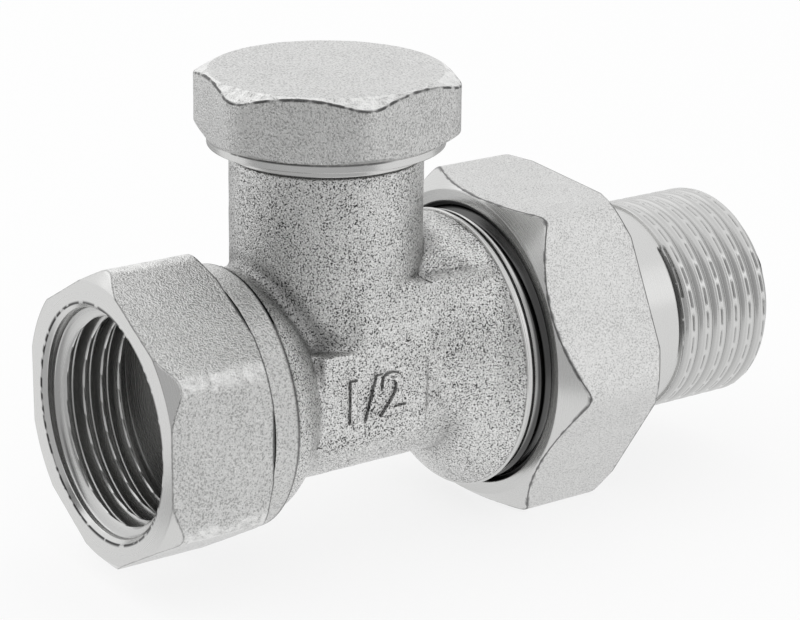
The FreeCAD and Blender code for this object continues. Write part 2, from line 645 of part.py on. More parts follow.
def flat_ring(name, inner, outer, low, high):
    """A flat ring about the neck's axis."""
    body = new_body(name)
    corners = [(inner, low), (outer, low), (outer, high), (inner, high)]
    turned(body, f"{name}_turning", corners, axis="V_Axis")
    return on_neck(body)


def plug_screw():
    """The slotted screw under the plug."""
    body = new_body("plug_screw")
    head_low = f"{WASHER_BOTTOM} - size.screw_head_height"
    end = f"{WASHER_BOTTOM} + size.screw_length"
    turned(body, "screw_turning", [
        ("0", head_low),
        ("size.screw_head_radius", head_low),
        ("size.screw_head_radius", WASHER_BOTTOM),
        ("size.screw_radius", WASHER_BOTTOM),
        ("size.screw_radius", end),
        ("0", end),
    ], axis="V_Axis")
    sketch = new_sketch(body, "slot_outline", "XY_Plane", head_low)
    across_slot(sketch, "size.screw_head_radius", "size.screw_slot_width")
    pushed(body, "driver_slot", sketch, "size.screw_head_height / 2", adds=False)
    return on_neck(body)


def round_ring(name, inner, outer):
    """A round-section sealing ring, turned about the Z axis, that lies between two radii."""
    ring = doc.addObject("Part::Torus", name)
    ring.Label = name
    ring.setExpression("Radius1", f"({inner} + {outer}) / 2")
    ring.setExpression("Radius2", f"({outer} - {inner}) / 2 - size.seal_play")
    return ring


def hex_cap():
    """The cap: hexagon with chamfers above and below, washer face and threaded bore."""
    body = new_body("hex_cap")
    sketch = new_sketch(body, "hexagon_outline", "XY_Plane", CAP_HEX_START)
    hexagon(sketch, CAP_FLATS, corner_on_x=True)
    block = pushed(body, "hexagon_block", sketch, f"{CAP_TOP} - {CAP_HEX_START}")
    edges = straight_edges(block, Vector(0, 0, 1))
    rounded(body, "hexagon_corners", block, edges, "size.cap_corner_round")
    reach = f"({CAP_FLATS} * {CORNER_REACH})"
    face = f"({CAP_FLATS} / 2 - size.cap_face_setback)"
    washer = f"({CAP_FLATS} / 2 - size.cap_washer_setback)"
    turned(body, "top_chamfer", [
        (face, CAP_TOP),
        (reach, sloped(CAP_TOP, f"{face} - {reach}", "size.cap_top_slope")),
        (reach, CAP_TOP),
    ], axis="V_Axis", adds=False)
    turned(body, "bottom_chamfer", [
        (washer, CAP_HEX_START),
        (reach, CAP_HEX_START),
        (reach, sloped(CAP_HEX_START, f"{reach} - {washer}", "size.cap_bottom_slope")),
    ], axis="V_Axis", adds=False)
    turned(body, "washer_face", [
        ("0", CAP_BOTTOM),
        (f"{washer} - size.cap_washer_inset", CAP_BOTTOM),
        (washer, f"{CAP_BOTTOM} + size.cap_washer_rise"),
        (washer, CAP_HEX_START),
        ("0", CAP_HEX_START),
    ], axis="V_Axis")
    bore = f"{SPIGOT_RADIUS} + size.cap_clearance"
    turned(body, "threaded_bore", [
        ("0", CAP_BOTTOM),
        (f"{bore} + size.cap_mouth_chamfer", CAP_BOTTOM),
        (bore, f"{CAP_BOTTOM} + size.cap_mouth_chamfer"),
        (bore, CAP_ROOF_FACE),
        ("0", CAP_ROOF_FACE),
    ], axis="V_Axis", adds=False)
    return turned_about(on_neck(body), Vector(0, 0, 1), "size.cap_angle")


def union_nut():
    """The union nut: chamfered hexagon, bore over the body's thread and a hole for the tail."""
    body = new_body("union_nut")
    sketch = new_sketch(body, "hexagon_outline", "YZ_Plane", NUT_START)
    hexagon(sketch, NUT_FLATS, corner_on_x=True)
    block = pushed(body, "hexagon_block", sketch, "size.nut_length")
    edges = straight_edges(block, Vector(1, 0, 0))
    rounded(body, "hexagon_corners", block, edges, "size.nut_corner_round")
    reach = f"({NUT_FLATS} * {CORNER_REACH})"
    face = f"({NUT_FLATS} / 2 - size.nut_face_setback)"
    rear_face = f"({NUT_FLATS} / 2 + size.nut_rear_margin)"
    turned(body, "front_chamfer", [
        (NUT_START, face),
        (NUT_START, reach),
        (f"{NUT_START} + {reach} - {face}", reach),
    ], adds=False)
    turned(body, "rear_chamfer", [
        (NUT_END, rear_face),
        (NUT_END, reach),
        (sloped(NUT_END, f"{rear_face} - {reach}", "size.nut_rear_slope"), reach),
    ], adds=False)
    hole = "size.pipe_thread_radius + size.nut_hole_play"
    shoulder = f"{COLLAR_END} + size.tail_gap"
    turned(body, "stepped_bore", [
        (NUT_START, "0"),
        (NUT_START, f"{NUT_BORE} + size.nut_mouth_chamfer"),
        (f"{NUT_START} + size.nut_mouth_chamfer", NUT_BORE),
        (shoulder, NUT_BORE),
        (shoulder, hole),
        (NUT_END, hole),
        (NUT_END, "0"),
    ], adds=False)
    return turned_about(body, Vector(1, 0, 0), "size.nut_angle")


def tail_piece():
    """The tail: nose with a seal groove, collar, smooth band, pipe thread, bore and key hexagon."""
    body = new_body("tail_piece")
    nose_start = f"{COLLAR_START} - size.tail_nose_length"
    half = "size.tail_groove_width / 2"
    band = "size.pipe_thread_radius - size.tail_band_step"
    collar = f"{NUT_BORE} - size.tail_collar_play"
    thread_start = f"{TAIL_END} - size.tail_thread_length"
    turned(body, "tail_turning", [
        (nose_start, "size.tail_bore_radius"),
        (nose_start, TAIL_NOSE),
        (f"{TAIL_SEAL} - {half}", TAIL_NOSE),
        (f"{TAIL_SEAL} - {half}", TAIL_GROOVE),
        (f"{TAIL_SEAL} + {half}", TAIL_GROOVE),
        (f"{TAIL_SEAL} + {half}", TAIL_NOSE),
        (COLLAR_START, TAIL_NOSE),
        (COLLAR_START, collar),
        (COLLAR_END, collar),
        (COLLAR_END, band),
        (thread_start, band),
        (thread_start, "size.pipe_thread_radius"),
        (f"{TAIL_END} - size.tail_chamfer", "size.pipe_thread_radius"),
        (TAIL_END, "size.pipe_thread_radius - size.tail_chamfer"),
        (TAIL_END, "size.tail_bore_radius"),
    ])
    sketch = new_sketch(body, "key_outline", "YZ_Plane", TAIL_END)
    hexagon(sketch, "size.key_flats", corner_on_x=False)
    pushed(body, "key_hexagon", sketch, "size.key_depth", adds=False, backwards=True)
    return body


def soft_rings():
    """The four round-section rings, each between its groove and its bore."""
    rings = []
    for name, inner, outer, level in (
        ("bonnet_o_ring", BONNET_GROOVE, BONNET_BORE, BONNET_SEAL),
        ("spindle_o_ring_lower", SPINDLE_GROOVE, SPINDLE_BORE, LOWER_GROOVE),
        ("spindle_o_ring_upper", SPINDLE_GROOVE, SPINDLE_BORE, UPPER_GROOVE),
    ):
        ring = round_ring(name, inner, outer)
        ring.setExpression("Placement.Base.z", level)
        rings.append(on_neck(ring))
    ring = round_ring("tail_o_ring", TAIL_GROOVE, "size.nose_seat_radius")
    ring.Placement.Rotation = Rotation(Vector(0, 1, 0), QUARTER_TURN)
    ring.setExpression("Placement.Base.x", TAIL_SEAL)
    rings.append(ring)
    return rings


def check_and_write(parts):
    """Checks every object of the document and each sub-part's solid, then writes the files."""
    doc.recompute()
    for item in doc.Objects:
        if "Invalid" in item.State or "Error" in item.State:
            raise RuntimeError(f"{item.Label} is in the state {item.State}")
    for part in parts:
        if part.Shape.isNull() or not part.Shape.isValid() or len(part.Shape.Solids) != 1:
            raise RuntimeError(f"{part.Label} is not one valid solid")
    for part in parts:
        part.Shape.exportStep(f"parts/{part.Label}.step")
        print(f"{part.Label}: {part.Shape.Volume:.1f} cubic millimetres")


gasket_low = f"{SPIGOT_TOP} + size.gasket_gap"
gasket_high = f"{CAP_ROOF_FACE} - size.gasket_gap"
gasket_outer = f"{SPIGOT_RADIUS} - size.gasket_play"
seal_outer = f"{PLUG_RADIUS} - size.seal_inset"
sub_parts = [
    valve_body(),
    bonnet(),
    spindle(),
    retaining_ring(),
    throttle_plug(),
    flat_ring("plug_seal", SCREW_HOLE, seal_outer, SEAL_BOTTOM, PLUG_BOTTOM),
    flat_ring("plug_washer", SCREW_HOLE, "size.plug_washer_radius", WASHER_BOTTOM, SEAL_BOTTOM),
    plug_screw(),
    hex_cap(),
    flat_ring("cap_gasket", "size.gasket_inner_radius", gasket_outer, gasket_low, gasket_high),
    union_nut(),
    tail_piece(),
] + soft_rings()
check_and_write(sub_parts)
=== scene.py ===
"""A straight lockshield radiator valve in nickel-plated brass, with its union nut and tail.

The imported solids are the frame. The plated outside is made again here with its threads, its forged
grain and its turned rings, and the pieces inside keep their solids and get their finishes. Lengths
are in metres, +X runs along the flow from the inlet's face and +Z up along the neck.
"""

import json
import math

import bmesh
import bpy
import numpy as np
from mathutils import Matrix, Vector


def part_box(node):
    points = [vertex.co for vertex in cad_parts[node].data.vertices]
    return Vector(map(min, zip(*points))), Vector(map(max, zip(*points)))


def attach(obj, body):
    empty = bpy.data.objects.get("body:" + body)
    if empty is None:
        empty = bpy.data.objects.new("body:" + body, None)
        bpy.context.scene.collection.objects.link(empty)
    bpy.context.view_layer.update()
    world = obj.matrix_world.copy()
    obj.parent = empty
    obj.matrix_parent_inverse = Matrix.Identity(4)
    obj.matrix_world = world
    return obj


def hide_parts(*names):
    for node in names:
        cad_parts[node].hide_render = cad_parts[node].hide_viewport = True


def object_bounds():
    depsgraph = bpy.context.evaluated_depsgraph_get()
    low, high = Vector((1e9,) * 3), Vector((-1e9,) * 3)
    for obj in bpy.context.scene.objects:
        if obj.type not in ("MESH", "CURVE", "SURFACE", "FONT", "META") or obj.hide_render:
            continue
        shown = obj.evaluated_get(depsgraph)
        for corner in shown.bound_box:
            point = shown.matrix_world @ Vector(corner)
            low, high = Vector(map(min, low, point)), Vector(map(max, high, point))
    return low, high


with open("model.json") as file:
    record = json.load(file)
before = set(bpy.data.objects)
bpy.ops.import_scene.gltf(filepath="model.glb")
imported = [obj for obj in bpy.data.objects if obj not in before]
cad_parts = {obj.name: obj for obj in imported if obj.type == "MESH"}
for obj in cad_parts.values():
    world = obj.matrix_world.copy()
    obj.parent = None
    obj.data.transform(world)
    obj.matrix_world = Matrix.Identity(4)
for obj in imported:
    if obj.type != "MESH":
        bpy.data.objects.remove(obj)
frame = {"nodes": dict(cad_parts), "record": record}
CAD_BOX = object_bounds()

bl_info = {
    "name": "Radiator Valve",
    "version": (1, 0, 0),
    "blender": (4, 5, 0),
    "location": "3D View > Sidebar > Radiator Valve",
    "description": "Dresses the solids of a straight radiator valve in plated metal",
    "category": "Add Mesh",
}

MM = 0.001
FULL_TURN = 2.0 * math.pi

# Places that the solids give
BODY_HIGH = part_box("valve_body")[1]
CAP_LOW, CAP_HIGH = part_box("hex_cap")
NUT_LOW, NUT_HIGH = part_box("union_nut")
TAIL_LOW, TAIL_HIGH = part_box("tail_piece")
NECK_X = (CAP_LOW[0] + CAP_HIGH[0]) / 2
PIPE_RADIUS = frame["record"]["mounts"][0]["dims"]["r_mm"] * MM

# How far neighbouring parts of one solid lap over each other
LAP = 0.02 * MM

# How dark the painted shade is on a groove's floor and along a corner, from 0 to 1
DEEP, CORNER_SHADE = 0.9, 0.8

# A run of the section carries one of these finishes
FORGED, TURNED, FINE = range(3)


def linear(code):
    """The linear colour of an sRGB hex code such as c8c6c2."""
    shares = np.array([int(code[place : place + 2], 16) / 255 for place in (0, 2, 4)])
    curved = np.where(shares > 0.04045, ((shares + 0.055) / 1.055) ** 2.4, shares / 12.92)
    return tuple(float(share) for share in curved)


def length(name, description, millimetres):
    """A length that is kept in metres and given in millimetres."""
    return bpy.props.FloatProperty(
        name=name, description=description, default=millimetres * MM, unit="LENGTH", precision=5
    )


def angle(name, description, degrees):
    """An angle that is kept in radians and given in degrees."""
    return bpy.props.FloatProperty(
        name=name, description=description, default=math.radians(degrees), unit="ROTATION"
    )


def amount(name, description, value):
    """A plain number."""
    return bpy.props.FloatProperty(name=name, description=description, default=value)


def position(name, description, default):
    """A place in metres."""
    return bpy.props.FloatVectorProperty(
        name=name, description=description, default=default, subtype="XYZ", unit="LENGTH"
    )


def colour(name, description, code):
    """A colour given by its sRGB hex code."""
    return bpy.props.FloatVectorProperty(
        name=name, description=description, default=linear(code), subtype="COLOR", min=0.0, max=1.0
    )


class PipeThreadSizes(bpy.types.PropertyGroup):
    """The half inch pipe thread of both ends, and the notches in the tail's crests."""

    pitch: length("Pitch", "Distance from crest to crest", 1.814)
    depth: length("Depth", "Height of the crests over the roots", 1.162)
    notches: bpy.props.IntProperty(
        name="Notches", description="Notches in one turn of the tail's thread", default=28
    )
    notch_depth: length("Notch Depth", "Depth of each notch in the crest", 0.13)
    notch_width: length("Notch Width", "Half the width of each notch along the axis", 0.1)


class InletSizes(bpy.types.PropertyGroup):
    """The inlet's hexagon and its threaded bore."""

    flats: length("Flats", "Width across the flats", 25.0)
    hex_length: length("Length", "Length of the hexagon", 10.3)
    corner_round: length("Corner Rounding", "Radius of the hexagon's corners", 2.2)
    face_radius: length("Face Radius", "Radius at which the chamfers start", 12.95)
    front_slope: angle("Front Slope", "Slope of the front chamfer from the face", 45.0)
    rear_slope: angle("Rear Slope", "Slope of the rear chamfer from the face", 30.0)
    mouth: length("Mouth Chamfer", "Lead-in of the bore", 0.42)
    collar_radius: length("Collar Radius", "Radius of the collar behind the hexagon", 12.2)
    groove: length("Groove", "Depth of the groove between hexagon and collar", 0.14)
    groove_width: length("Groove Width", "Width of that groove", 0.4)
    thread_end: length("Thread End", "Where the female thread runs out", 8.7)


class ForgedBodySizes(bpy.types.PropertyGroup):
    """The forged middle of the body: shoulder, tube, neck, dome and marking pad."""

    grid: length("Grid", "Width of the grid's cells on the forging", 0.25)
    start: length("Start", "Where the shoulder leaves the collar", 13.05)
    step: length("Step", "How far the shoulder starts below the collar", 0.25)
    step_length: length("Step Length", "Over which length that step fades", 2.4)
    pad_front: length("Pad Front", "Distance of the pad's face from the flow axis", 9.3)
    pad_top: length("Pad Top", "Height of the pad's top edge", 5.4)
    pad_slope: amount("Pad Slope", "Slope of the face above that edge, as a share", 0.13)
    dome_end: length("Dome End", "Where the dome meets the turned flange", 37.3)
    neck_top: length("Neck Top", "Height of the neck's shoulder", 21.3)
    lump_width: length("Lump Width", "Width of the forging's soft lumps", 1.7)
    lump_height: length("Lump Height", "Height of those lumps", 0.03)
    crease_width: length("Crease Width", "How far the dark of a crease spreads", 0.8)
    hollow_width: length("Hollow Width", "How far the dark of a wide hollow spreads", 18.0)


class SizeMarkSizes(bpy.types.PropertyGroup):
    """The raised figures of the nominal size on the pad."""

    figures: bpy.props.StringProperty(
        name="Figures", description="Nominal size in inches", default="1/2"
    )
    height: length("Height", "Height of the line of figures", 5.6)
    rise: length("Rise", "How far the figures stand out from the pad", 0.22)
    bevel: length("Bevel", "Roundness of the figures' edges", 0.06)
    # A rim of painted shade round the foot of the figures
    rim: length("Rim", "Width of the dark rim round the figures", 0.12)
    place: position("Place", "Middle of the figures", (NECK_X - 1.0 * MM, -9.3 * MM, 0.5 * MM))


class UnionEndSizes(bpy.types.PropertyGroup):
    """The turned end of the body that the union nut runs on."""

    flange_radius: length("Flange Radius", "Radius of the flange behind the dome", 13.47)
    flange_end: length("Flange End", "Where the flange ends", 37.5)
    ring_radius: length("Ring Radius", "Radius of the turned ring behind the flange", 13.15)
    relief_radius: length("Relief Radius", "Radius of the grooves beside that ring", 12.75)
    thread_start: length("Thread Start", "Where the thread starts", 38.3)
    thread_radius: length("Thread Radius", "Major radius of the union thread", 13.22)
    chamfer: length("Chamfer", "Chamfer on the end", 0.5)
    bore_radius: length("Bore Radius", "Radius of the water way", 7.5)
    nose_radius: length("Nose Bore Radius", "Radius of the bore for the tail's nose", 9.0)
    nose_depth: length("Nose Bore Depth", "Depth of that bore", 4.0)


class NeckSizes(bpy.types.PropertyGroup):
    """The neck's threaded spigot under the cap."""

    radius: length("Thread Radius", "Major radius of the cap's thread", 8.0)
    bore_radius: length("Bore Radius", "Radius of the bonnet's bore", 6.4)
    pitch: length("Pitch", "Pitch of the cap's thread", 1.0)
    depth: length("Depth", "Depth of the cap's thread", 0.55)
    chamfer: length("Chamfer", "Chamfer on the rim", 0.4)


class CapSizes(bpy.types.PropertyGroup):
    """The hexagon cap over the spindle."""

    flats: length("Flats", "Width across the flats", 22.0)
    corner_round: length("Corner Rounding", "Radius of the hexagon's corners", 2.8)
    turn: angle("Turn", "Turn of the cap about the neck", 14.6)
    face_radius: length("Face Radius", "Radius of the flat top", 10.68)
    top_slope: angle("Top Slope", "Slope of the upper chamfer", 30.0)
    washer_radius: length("Washer Radius", "Radius of the washer face under the hexagon", 10.84)
    washer_height: length("Washer Height", "Height of the washer face", 1.55)
    washer_rise: length("Washer Rise", "Height of the skirt under the washer face", 0.82)
    washer_inset: length("Washer Inset", "How far that skirt stands in", 1.6)
    bottom_slope: angle("Bottom Slope", "Slope of the lower chamfer", 28.0)
    bore_radius: length("Bore Radius", "Radius of the bore over the neck's thread", 8.07)
    mouth: length("Mouth Chamfer", "Lead-in of the bore", 0.5)
    roof: length("Roof", "Thickness of the roof", 1.7)


class NutSizes(bpy.types.PropertyGroup):
    """The union nut."""

    flats: length("Flats", "Width across the flats", 30.0)
    corner_round: length("Corner Rounding", "Radius of the hexagon's corners", 1.5)
    turn: angle("Turn", "Turn of the nut about the flow axis", 3.4)
    face_radius: length("Face Radius", "Radius at which the front chamfer starts", 14.9)
    rear_radius: length("Rear Radius", "Radius at which the rear chamfer starts", 15.9)
    rear_slope: angle("Rear Slope", "Slope of the rear chamfer", 40.0)
    bore_radius: length("Bore Radius", "Radius of the bore over the union thread", 13.3)
    mouth: length("Mouth Chamfer", "Lead-in of the bore", 0.47)
    shoulder: length("Shoulder", "Where the bore steps down behind the tail's collar", 48.3)
    hole_radius: length("Hole Radius", "Radius of the hole for the tail", 10.7475)


class TailSizes(bpy.types.PropertyGroup):
    """The tail piece: nose, collar, smooth band and pipe thread."""

    nose_radius: length("Nose Radius", "Radius of the nose", 8.7)
    groove_radius: length("Groove Radius", "Radius of the seal's groove in the nose", 7.9)
    groove_start: length("Groove Start", "Where that groove starts", 43.75)
    groove_end: length("Groove End", "Where that groove ends", 45.25)
    collar_radius: length("Collar Radius", "Radius of the collar", 12.6)
    collar_start: length("Collar Start", "Front of the collar", 46.1)
    collar_end: length("Collar End", "Back of the collar", 48.2)
    band_radius: length("Band Radius", "Radius of the smooth band", 10.3)
    thread_start: length("Thread Start", "Where the pipe thread starts", 58.6)
    root_start: length("Root Start", "Where a root of the thread crosses the +Y side", 58.12)
    root_depth: length("Root Depth", "Depth of the thread's roots", 0.34)
    root_width: length("Root Width", "Half the width of the thread's roots", 0.26)
    run_out: length("Run-out", "Middle of the cove that the thread runs out in", 58.65)
    run_out_width: length("Run-out Width", "Reach of that cove", 0.9)
    chamfer: length("Chamfer", "Chamfer on the end", 0.6)
    bore_radius: length("Bore Radius", "Radius of the bore", 5.6)
    key_flats: length("Key Flats", "Hexagon for the mounting key", 12.0)
    key_depth: length("Key Depth", "Depth of that hexagon", 9.0)


class FinishColours(bpy.types.PropertyGroup):
    """The colours of the valve's metals and seals."""

    forged: colour("Forged Nickel", "Nickel plate over the blasted forging", "d6d6d5")
    # The bright plate of the highest grains, and the painted highlight, with some rubbing wear, on
    # edges
    rubbed_and_highlight: colour("Rubbed Nickel", "The plate on the highest grains", "f6f6f5")
    pitted: colour("Pitted Nickel", "The plate on the floors of the pits", "343434")
    # Painted shade: the colour laid into creases, grooves, thread roots and along corners where
    # shade falls
    crease_shade: colour("Creased Nickel", "The plate in creases and grooves", "383838")
    turned: colour("Turned Nickel", "Nickel plate over turned metal", "d2d2d1")
    brass: colour("Brass", "Bare turned brass", "d8b56a")
    steel: colour("Steel", "Bright spring steel", "b9b8b5")
    rubber: colour("Rubber", "Black sealing rubber", "1b1b1c")
    fibre: colour("Fibre", "Pale gasket fibre", "d6d2c4")


class StageSizes(bpy.types.PropertyGroup):
    """The camera, the lamps and the pale stage."""

    azimuth: angle("Azimuth", "Direction of the camera round the valve", -35.31)
    elevation: angle("Elevation", "Height of the camera over the horizon", 19.0)
    roll: angle("Roll", "Turn of the camera about its view", 0.74)
    distance: length("Distance", "From the camera to its target", 259.75)
    target: position("Target", "What the camera looks at", (32.294 * MM, 0.0, 4.627 * MM))
    lens: amount("Lens", "Focal length on a 36 mm sensor", 124.26)
    floor_shade: colour("Floor", "Pale floor", "f4f4f4")
    ambient: amount("Ambient", "Brightness of the world on dull surfaces", 1.0)


def hexagon_radius(turn, flats, corner_round, corner):
    """Distance from the axis to a hexagon with rounded corners, one of them at a given angle.

    On a flat it is half the width over the cosine of the angle from the flat's middle. Near a
    corner the ray meets a circle of the corner's radius that touches both flats.
    """
    away = np.abs((turn - corner + FULL_TURN / 12) % (FULL_TURN / 6) - FULL_TURN / 12)
    flat = flats / 2 / np.cos(FULL_TURN / 12 - away)
    centre = (flats / 2 - corner_round) / math.cos(FULL_TURN / 12)
    touch = math.atan2(
        corner_round * math.sin(FULL_TURN / 12), centre + corner_round * math.cos(FULL_TURN / 12)
    )
    under_root = np.maximum(corner_round**2 - (centre * np.sin(away)) ** 2, 0.0)
    rounded = centre * np.cos(away) + np.sqrt(under_root)
    return np.where(away < touch, rounded, flat)


def chamfer_start(radius, flat, least=0.03 * MM):
    """Where a chamfer starts: on its circle, and always a little inside the flats."""
    return np.minimum(radius, flat - least)


def section(turn, *corners, closed=True):
    """Rows of a section that may differ from column to column, one column for each angle.

    Each corner is its place along and out, the distance over which it is eased, the rows of the
    straight run after it and that run's finish, which is left out where it is turned. The ease is
    the parabola that touches both runs at that distance: (1-t)^2 start + 2t(1-t) corner + t^2 end.
    Returns the places as rows by (along, out) by columns, each row's finish and its run's number.
    """
    places = np.array([np.broadcast_arrays(along, out, turn)[:2] for along, out, *_ in corners])
    run = np.roll(places, -1, axis=0) - places
    reach = np.maximum(np.hypot(run[:, 0], run[:, 1]), 1e-9)
    ahead = run / reach[:, None]
    ease = np.array([corner[2] for corner in corners])[:, None]
    if not closed:
        ease[[0, -1]] = 0.0
    before = np.minimum(ease, 0.4 * np.roll(reach, 1, axis=0))
    after = np.minimum(ease, 0.4 * reach)
    starts = places - np.roll(ahead, 1, axis=0) * before[:, None]
    ends = places + ahead * after[:, None]
    rows, finishes, runs = [], [], []
    for index, (_, _, _, count, *finish) in enumerate(corners):
        bends = (0.0, 0.33, 0.67, 1.0) if ease[index, 0] else (1.0,)
        for t in bends:
            curve = (1 - t) ** 2 * starts[index] + 2 * t * (1 - t) * places[index]
            rows.append(curve + t**2 * ends[index])
        following = starts[(index + 1) % len(corners)]
        inner = range(1, count + 1) if closed or index < len(corners) - 1 else ()
        for step in inner:
            share = step / (count + 1)
            rows.append((1 - share) * ends[index] + share * following)
        finishes += (finish or [TURNED]) * (len(bends) + len(inner))
        runs += [-1] * len(bends) + [index] * len(inner)
    return np.array(rows), np.array(finishes), np.array(runs)


def around_flow(along, out, turn):
    """Points at a distance along the flow axis and out from it, at angles from +Y to +Z."""
    return np.stack([along, out * np.cos(turn), out * np.sin(turn)], axis=-1)


def around_neck(along, out, turn):
    """Points at a height and a distance out from the neck's axis, at angles from +X to +Y."""
    return np.stack([NECK_X + out * np.cos(turn), out * np.sin(turn), along], axis=-1)


def lathe(rows, finishes, turn, around, closed=True):
    """The section carried round its axis: one column of points at each angle, joined by quads.

    An open section starts and ends on the axis, where one point and a fan of triangles close it.
    Returns the points, the faces as groups of like length and the finish of each face.
    """
    count, columns = rows.shape[0], rows.shape[2]
    index = np.arange(count * columns).reshape(count, columns)
    if not closed:
        index = index - columns + 1
        index[0], index[-1] = 0, index[-2, -1] + 1
    beside = np.roll(index, -1, axis=1)
    last = count if closed else count - 1
    below, below_beside = np.roll(index, -1, axis=0)[:last], np.roll(beside, -1, axis=0)[:last]
    quads = np.stack([index[:last], beside[:last], below_beside, below], axis=-1)
    tags = np.repeat(finishes[:last, None], columns, axis=1)
    points = around(rows[:, 0], rows[:, 1], turn)
    if closed:
        return points.reshape(-1, 3), [quads.reshape(-1, 4)], [tags.ravel()]
    points = np.concatenate([points[0, :1], points[1:-1].reshape(-1, 3), points[-1, :1]])
    fans = [quads[0][:, [0, 2, 3]], quads[-1][:, [0, 1, 3]]]
    faces = [quads[1:-1].reshape(-1, 4), np.concatenate(fans)]
    return points, faces, [tags[1:-1].ravel(), np.concatenate([tags[0], tags[-1]])]


def outward(points, faces):
    """The faces turned so that the volume that they close, a sum of tetrahedra, is positive."""
    volume = 0.0
    for group in faces:
        for second in range(1, group.shape[1] - 1):
            one, two, three = (points[group[:, place]] for place in (0, second, second + 1))
            volume += np.einsum("ij,ij->", one, np.cross(two, three))
    return faces if volume > 0 else [group[:, ::-1] for group in faces]


def new_mesh(name, points, faces, tags):
    """A mesh of the points and faces, whose faces carry their finish's number."""
    mesh = bpy.data.meshes.new(name)
    faces = outward(points, faces)
    corners = np.concatenate([group.ravel() for group in faces]).astype(np.int32)
    sides = np.concatenate([np.full(len(group), group.shape[1]) for group in faces])
    mesh.vertices.add(len(points))
    mesh.vertices.foreach_set("co", points.astype(np.float32).ravel())
    mesh.loops.add(len(corners))
    mesh.loops.foreach_set("vertex_index", corners)
    mesh.polygons.add(len(sides))
    mesh.polygons.foreach_set("loop_start", (np.cumsum(sides) - sides).astype(np.int32))
    mesh.polygons.foreach_set("material_index", np.concatenate(tags).astype(np.int32))
    mesh.update(calc_edges=True)
    mesh.validate()
    return mesh


def lumps(points, width, seed):
    """Soft random lumps between -1 and 1.

    Space is cut into cubes of the given width, each cube corner gets a value from its whole-number
    place, and a point blends the eight values by 3t^2 - 2t^3 along each axis.
    """
    scaled = points / width
    cell = np.floor(scaled).astype(np.int64)
    share = scaled - cell
    share = share**2 * (3 - 2 * share)
    total = np.zeros(len(points))
    for corner in np.ndindex(2, 2, 2):
        # Large primes scatter the values of neighbouring places over the whole range
        at = cell + corner
        key = at[:, 0] * 73856093 ^ at[:, 1] * 19349663 ^ at[:, 2] * 83492791 ^ seed * 2654435761
        key = (key ^ key >> 13) * 1274126177 & 0xFFFFFFFF
        value = ((key ^ key >> 16) & 0xFFFF) / 0x7FFF - 1.0
        total += np.prod(np.where(corner, share, 1 - share), axis=1) * value
    return total


def uneven(rows, turn, around, width, seed):
    """Lumps at the points of a section that is carried round its axis."""
    points = around(rows[:, 0], rows[:, 1], turn)
    return lumps(points.reshape(-1, 3), width, seed).reshape(len(rows), -1)


def values_of(items, name, width=1, kind=np.float64):
    """One property of all the given parts of a mesh, in rows of the given width."""
    found = np.empty(len(items) * width, dtype=kind)
    items.foreach_get(name, found)
    return found.reshape(-1, width) if width > 1 else found


def roughen(mesh, share, width, height):
    """Sinks each point along its normal by two sizes of lumps, times the point's share."""
    points, normals = (values_of(mesh.vertices, name, 3) for name in ("co", "normal"))
    wave = lumps(points, width, 1) + 0.4 * lumps(points, width / 3, 2) - 1.4
    points += normals * (wave * share * height)[:, None]
    mesh.vertices.foreach_set("co", points.ravel())
    mesh.update()


def forged_share(mesh):
    """One for each point whose faces are all forged, and nought for the rest."""
    tags, sides = (
        values_of(mesh.polygons, name, kind=np.int32) for name in ("material_index", "loop_total")
    )
    corners = values_of(mesh.loops, "vertex_index", kind=np.int32)
    share = np.ones(len(mesh.vertices))
    share[corners[np.repeat(tags, sides) != FORGED]] = 0.0
    return share


def corner_line(rows, along, out, width, ragged):
    """Where a section's rows pass one of its corners, as a line of uneven width from 0 to 1."""
    away = np.hypot(rows[:, 0] - along, rows[:, 1] - out) / (width * (1 + 0.5 * ragged))
    return 1 - eased(away, 0.7, 1.1)


def paint_shade_and_highlight(mesh, crease_shade=None, rub_and_highlight=None):
    """Gives each point its share, 0 to 1, of painted shade and of painted highlight with some wear.
    """
    for name, values in (("crease_shade", crease_shade), ("rub_and_highlight", rub_and_highlight)):
        if values is not None:
            layer = mesh.attributes.new(name, "FLOAT", "POINT")
            layer.data.foreach_set("value", np.clip(values, 0.0, 1.0).astype(np.float32).ravel())


def linked(name, data):
    """A new object of the data, in the scene."""
    item = bpy.data.objects.new(name, data)
    bpy.context.scene.collection.objects.link(item)
    return item


def place_piece(mesh, name, body, materials, nodes, sharp=35.0):
    """An object of the mesh that rides on its body and stands for the given solids."""
    mesh.polygons.foreach_set("use_smooth", np.ones(len(mesh.polygons), dtype=bool))
    mesh.set_sharp_from_angle(angle=math.radians(sharp))
    for material in materials:
        mesh.materials.append(material)
    piece = linked(name, mesh)
    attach(piece, body)
    if nodes:
        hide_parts(*nodes)


def turned_piece(
    name, body, axis, shape, marks=(), rough=0.0, nodes=(), sharp=35.0, closed=True
):
    """A piece whose section is carried round the flow or the neck.

    The shape is the section's rows, their finishes and the angles. The marks are the painted shade
    of creases and the painted highlight, with some rubbing wear, of edges, for each row and angle.
    The forged points get the forging's lumps at a share of their height.
    """
    rows, _, turn = shape
    around = around_neck if axis == "neck" else around_flow
    mesh = new_mesh(name, *lathe(*shape, around, closed))
    kept = slice(None) if closed else [0, *range(len(turn), len(turn) * (len(rows) - 1)), -1]
    paint_shade_and_highlight(mesh, *(mark.ravel()[kept] for mark in marks))
    if rough:
        forging = bpy.context.scene.valve_forging
        roughen(mesh, forged_share(mesh), forging.lump_width, forging.lump_height * rough)
    place_piece(mesh, name, body, outside_finishes(axis), nodes, sharp)


